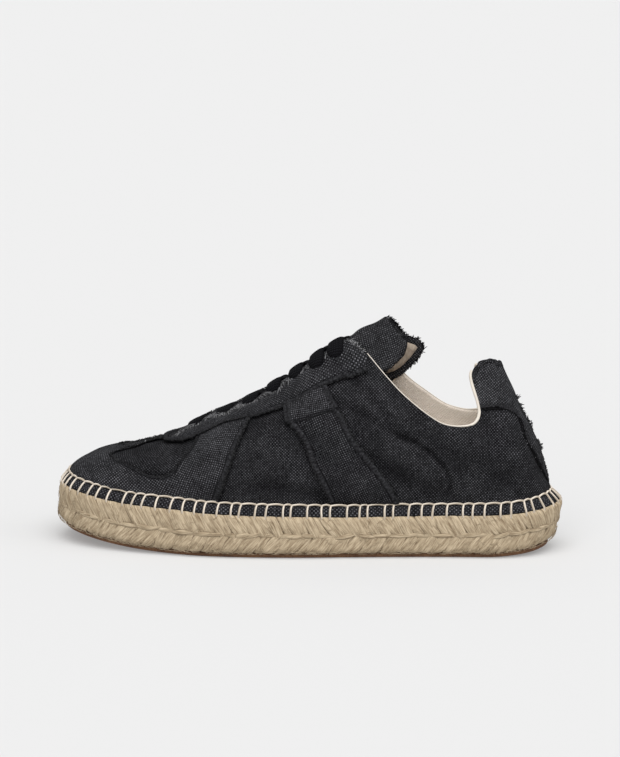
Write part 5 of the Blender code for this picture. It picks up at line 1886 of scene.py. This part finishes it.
# How high the middle of each lace lies over the upper at its outer end.
LACE_HEIGHTS = (2.9, 2.7, 3.3, 3.8, 3.9, 3.5, 2.8)
for number, (x, reach, width, thick) in enumerate(LACE_BARS, start=1):
    width, thick = width + LACE_WIDER, thick + LACE_THICKER
    rings = []
    for place in np.linspace(-1.06, 1.06, 54):
        side = -1 if place < 0 else 1
        pattern = pattern_from_top(x, reach * min(abs(place), 1.0), side)
        normal = form_normal(pattern)[0]
        outwards = unit(form(pattern + [0, side * 0.5])[0] - form(pattern)[0])
        ahead = np.cross(outwards, normal) * side
        sag = LAST_LACE_SAG if number == len(LACE_BARS) else LACE_SAG
        height = LACE_HEIGHTS[number - 1] - sag * max(0.0, 1 - (2 * place) ** 2)
        height -= INNER_DROP * min(max(place / 0.5, 0.0), 1.0)
        dive = max(0.0, abs(place) - DIVE_FROM) / 0.24
        height -= 3.0 * dive ** 2.0
        narrow = 1 - 0.55 * min(1.0, dive) ** 2
        centre = form(pattern)[0] + normal * height
        centre += outwards * reach * max(0.0, abs(place) - 1)
        rings.append(lace_ring(centre, ahead, normal, width * narrow, thick * (1 + 0.15 * dive)))
    rings = np.array(rings)
    rings = np.concatenate([rings, rings[:, :1]], axis=1)
    lace = grid_piece(f"lace_{number}", rings)
    run = np.cumsum(np.linalg.norm(np.diff(rings.mean(axis=1), axis=0, prepend=0), axis=1))
    girth = np.linspace(0, 2 * (width + thick), rings.shape[1])
    set_uv(lace, np.stack(np.meshgrid(run, girth, indexing="ij"), axis=-1))
    edit_mesh(lace, close_up)
    finish_piece(lace, LACE, "black_cotton_lace", f"lace_bar_{number}")

# %% [markdown]
# ## Blanket stitch
# A thick cotton cord holds the canvas to the rope. Its chain runs along the feather line, and a
# post goes down over the hem into the braid every seven or eight millimetres.

# %% Blanket stitch
POSTS = 92
CORD = 1.2
random = np.random.default_rng(5)
post_at = (np.arange(POSTS) + random.uniform(-0.24, 0.24, POSTS)) * PERIMETER / POSTS


def over_hem(distance, down, out=0.0):
    """Points on the hem, from the feather line (0) down to its lower edge (1) and past it."""
    _, _, x = loop_at(distance)
    inset = FEATHER_INSET - 0.7 + (HEM_INSET + toe_lean(x) - FEATHER_INSET) * np.clip(down, 0, 1)
    spot, _, _ = loop_at(distance, inset - out)
    drop = HEM_RISE * down
    return np.column_stack([spot, rim_height(x) + HEM_RISE + 0.3 - drop])


post_at = np.concatenate([post_at, post_at[:1] + PERIMETER])
stitches = []
for start, end in zip(post_at, post_at[1:]):
    foot_slip = random.uniform(-0.5, 0.5)
    deep = random.uniform(1.32, 1.5)
    post = np.linspace(1, 0, 8)
    rise = start + foot_slip * post + 0.9 * (1 - post) ** 6
    down = deep * post ** 0.9 * (1 - 0.1 * (1 - post))
    run = np.linspace(0.06, 1.0, 8)
    chain = start + 0.9 + (end - start) * run
    hump = 0.10 * np.sin(math.pi * run) - 0.06 * run ** 6
    out = np.concatenate([0.35 * np.sin(math.pi * post ** 0.5), 0.2 * (1 - run)])
    stitches.append(over_hem(np.concatenate([rise, chain]), np.concatenate([down, -hump]), out))
stitch = cord("blanket_stitch", stitches, CORD / 2, 2)
finish_piece(stitch, THREAD, "cream_cotton")

# %% [markdown]
# The insole's shape comes from the CAD model as it is. It only gets its cotton finish, the same as
# the lining's.

# %% Insole
insole = bpy.data.objects["insole"]
insole.data.materials.clear()
insole.data.materials.append(COTTON)
print("insole:", insole.data.materials[0].name)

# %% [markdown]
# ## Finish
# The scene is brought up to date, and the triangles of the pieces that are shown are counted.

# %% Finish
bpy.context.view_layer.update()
shown = [piece for piece in bpy.context.scene.objects if piece.type == "MESH"
         and not piece.hide_render]
print("triangles:", sum(len(face.vertices) - 2 for piece in shown for face in piece.data.polygons))
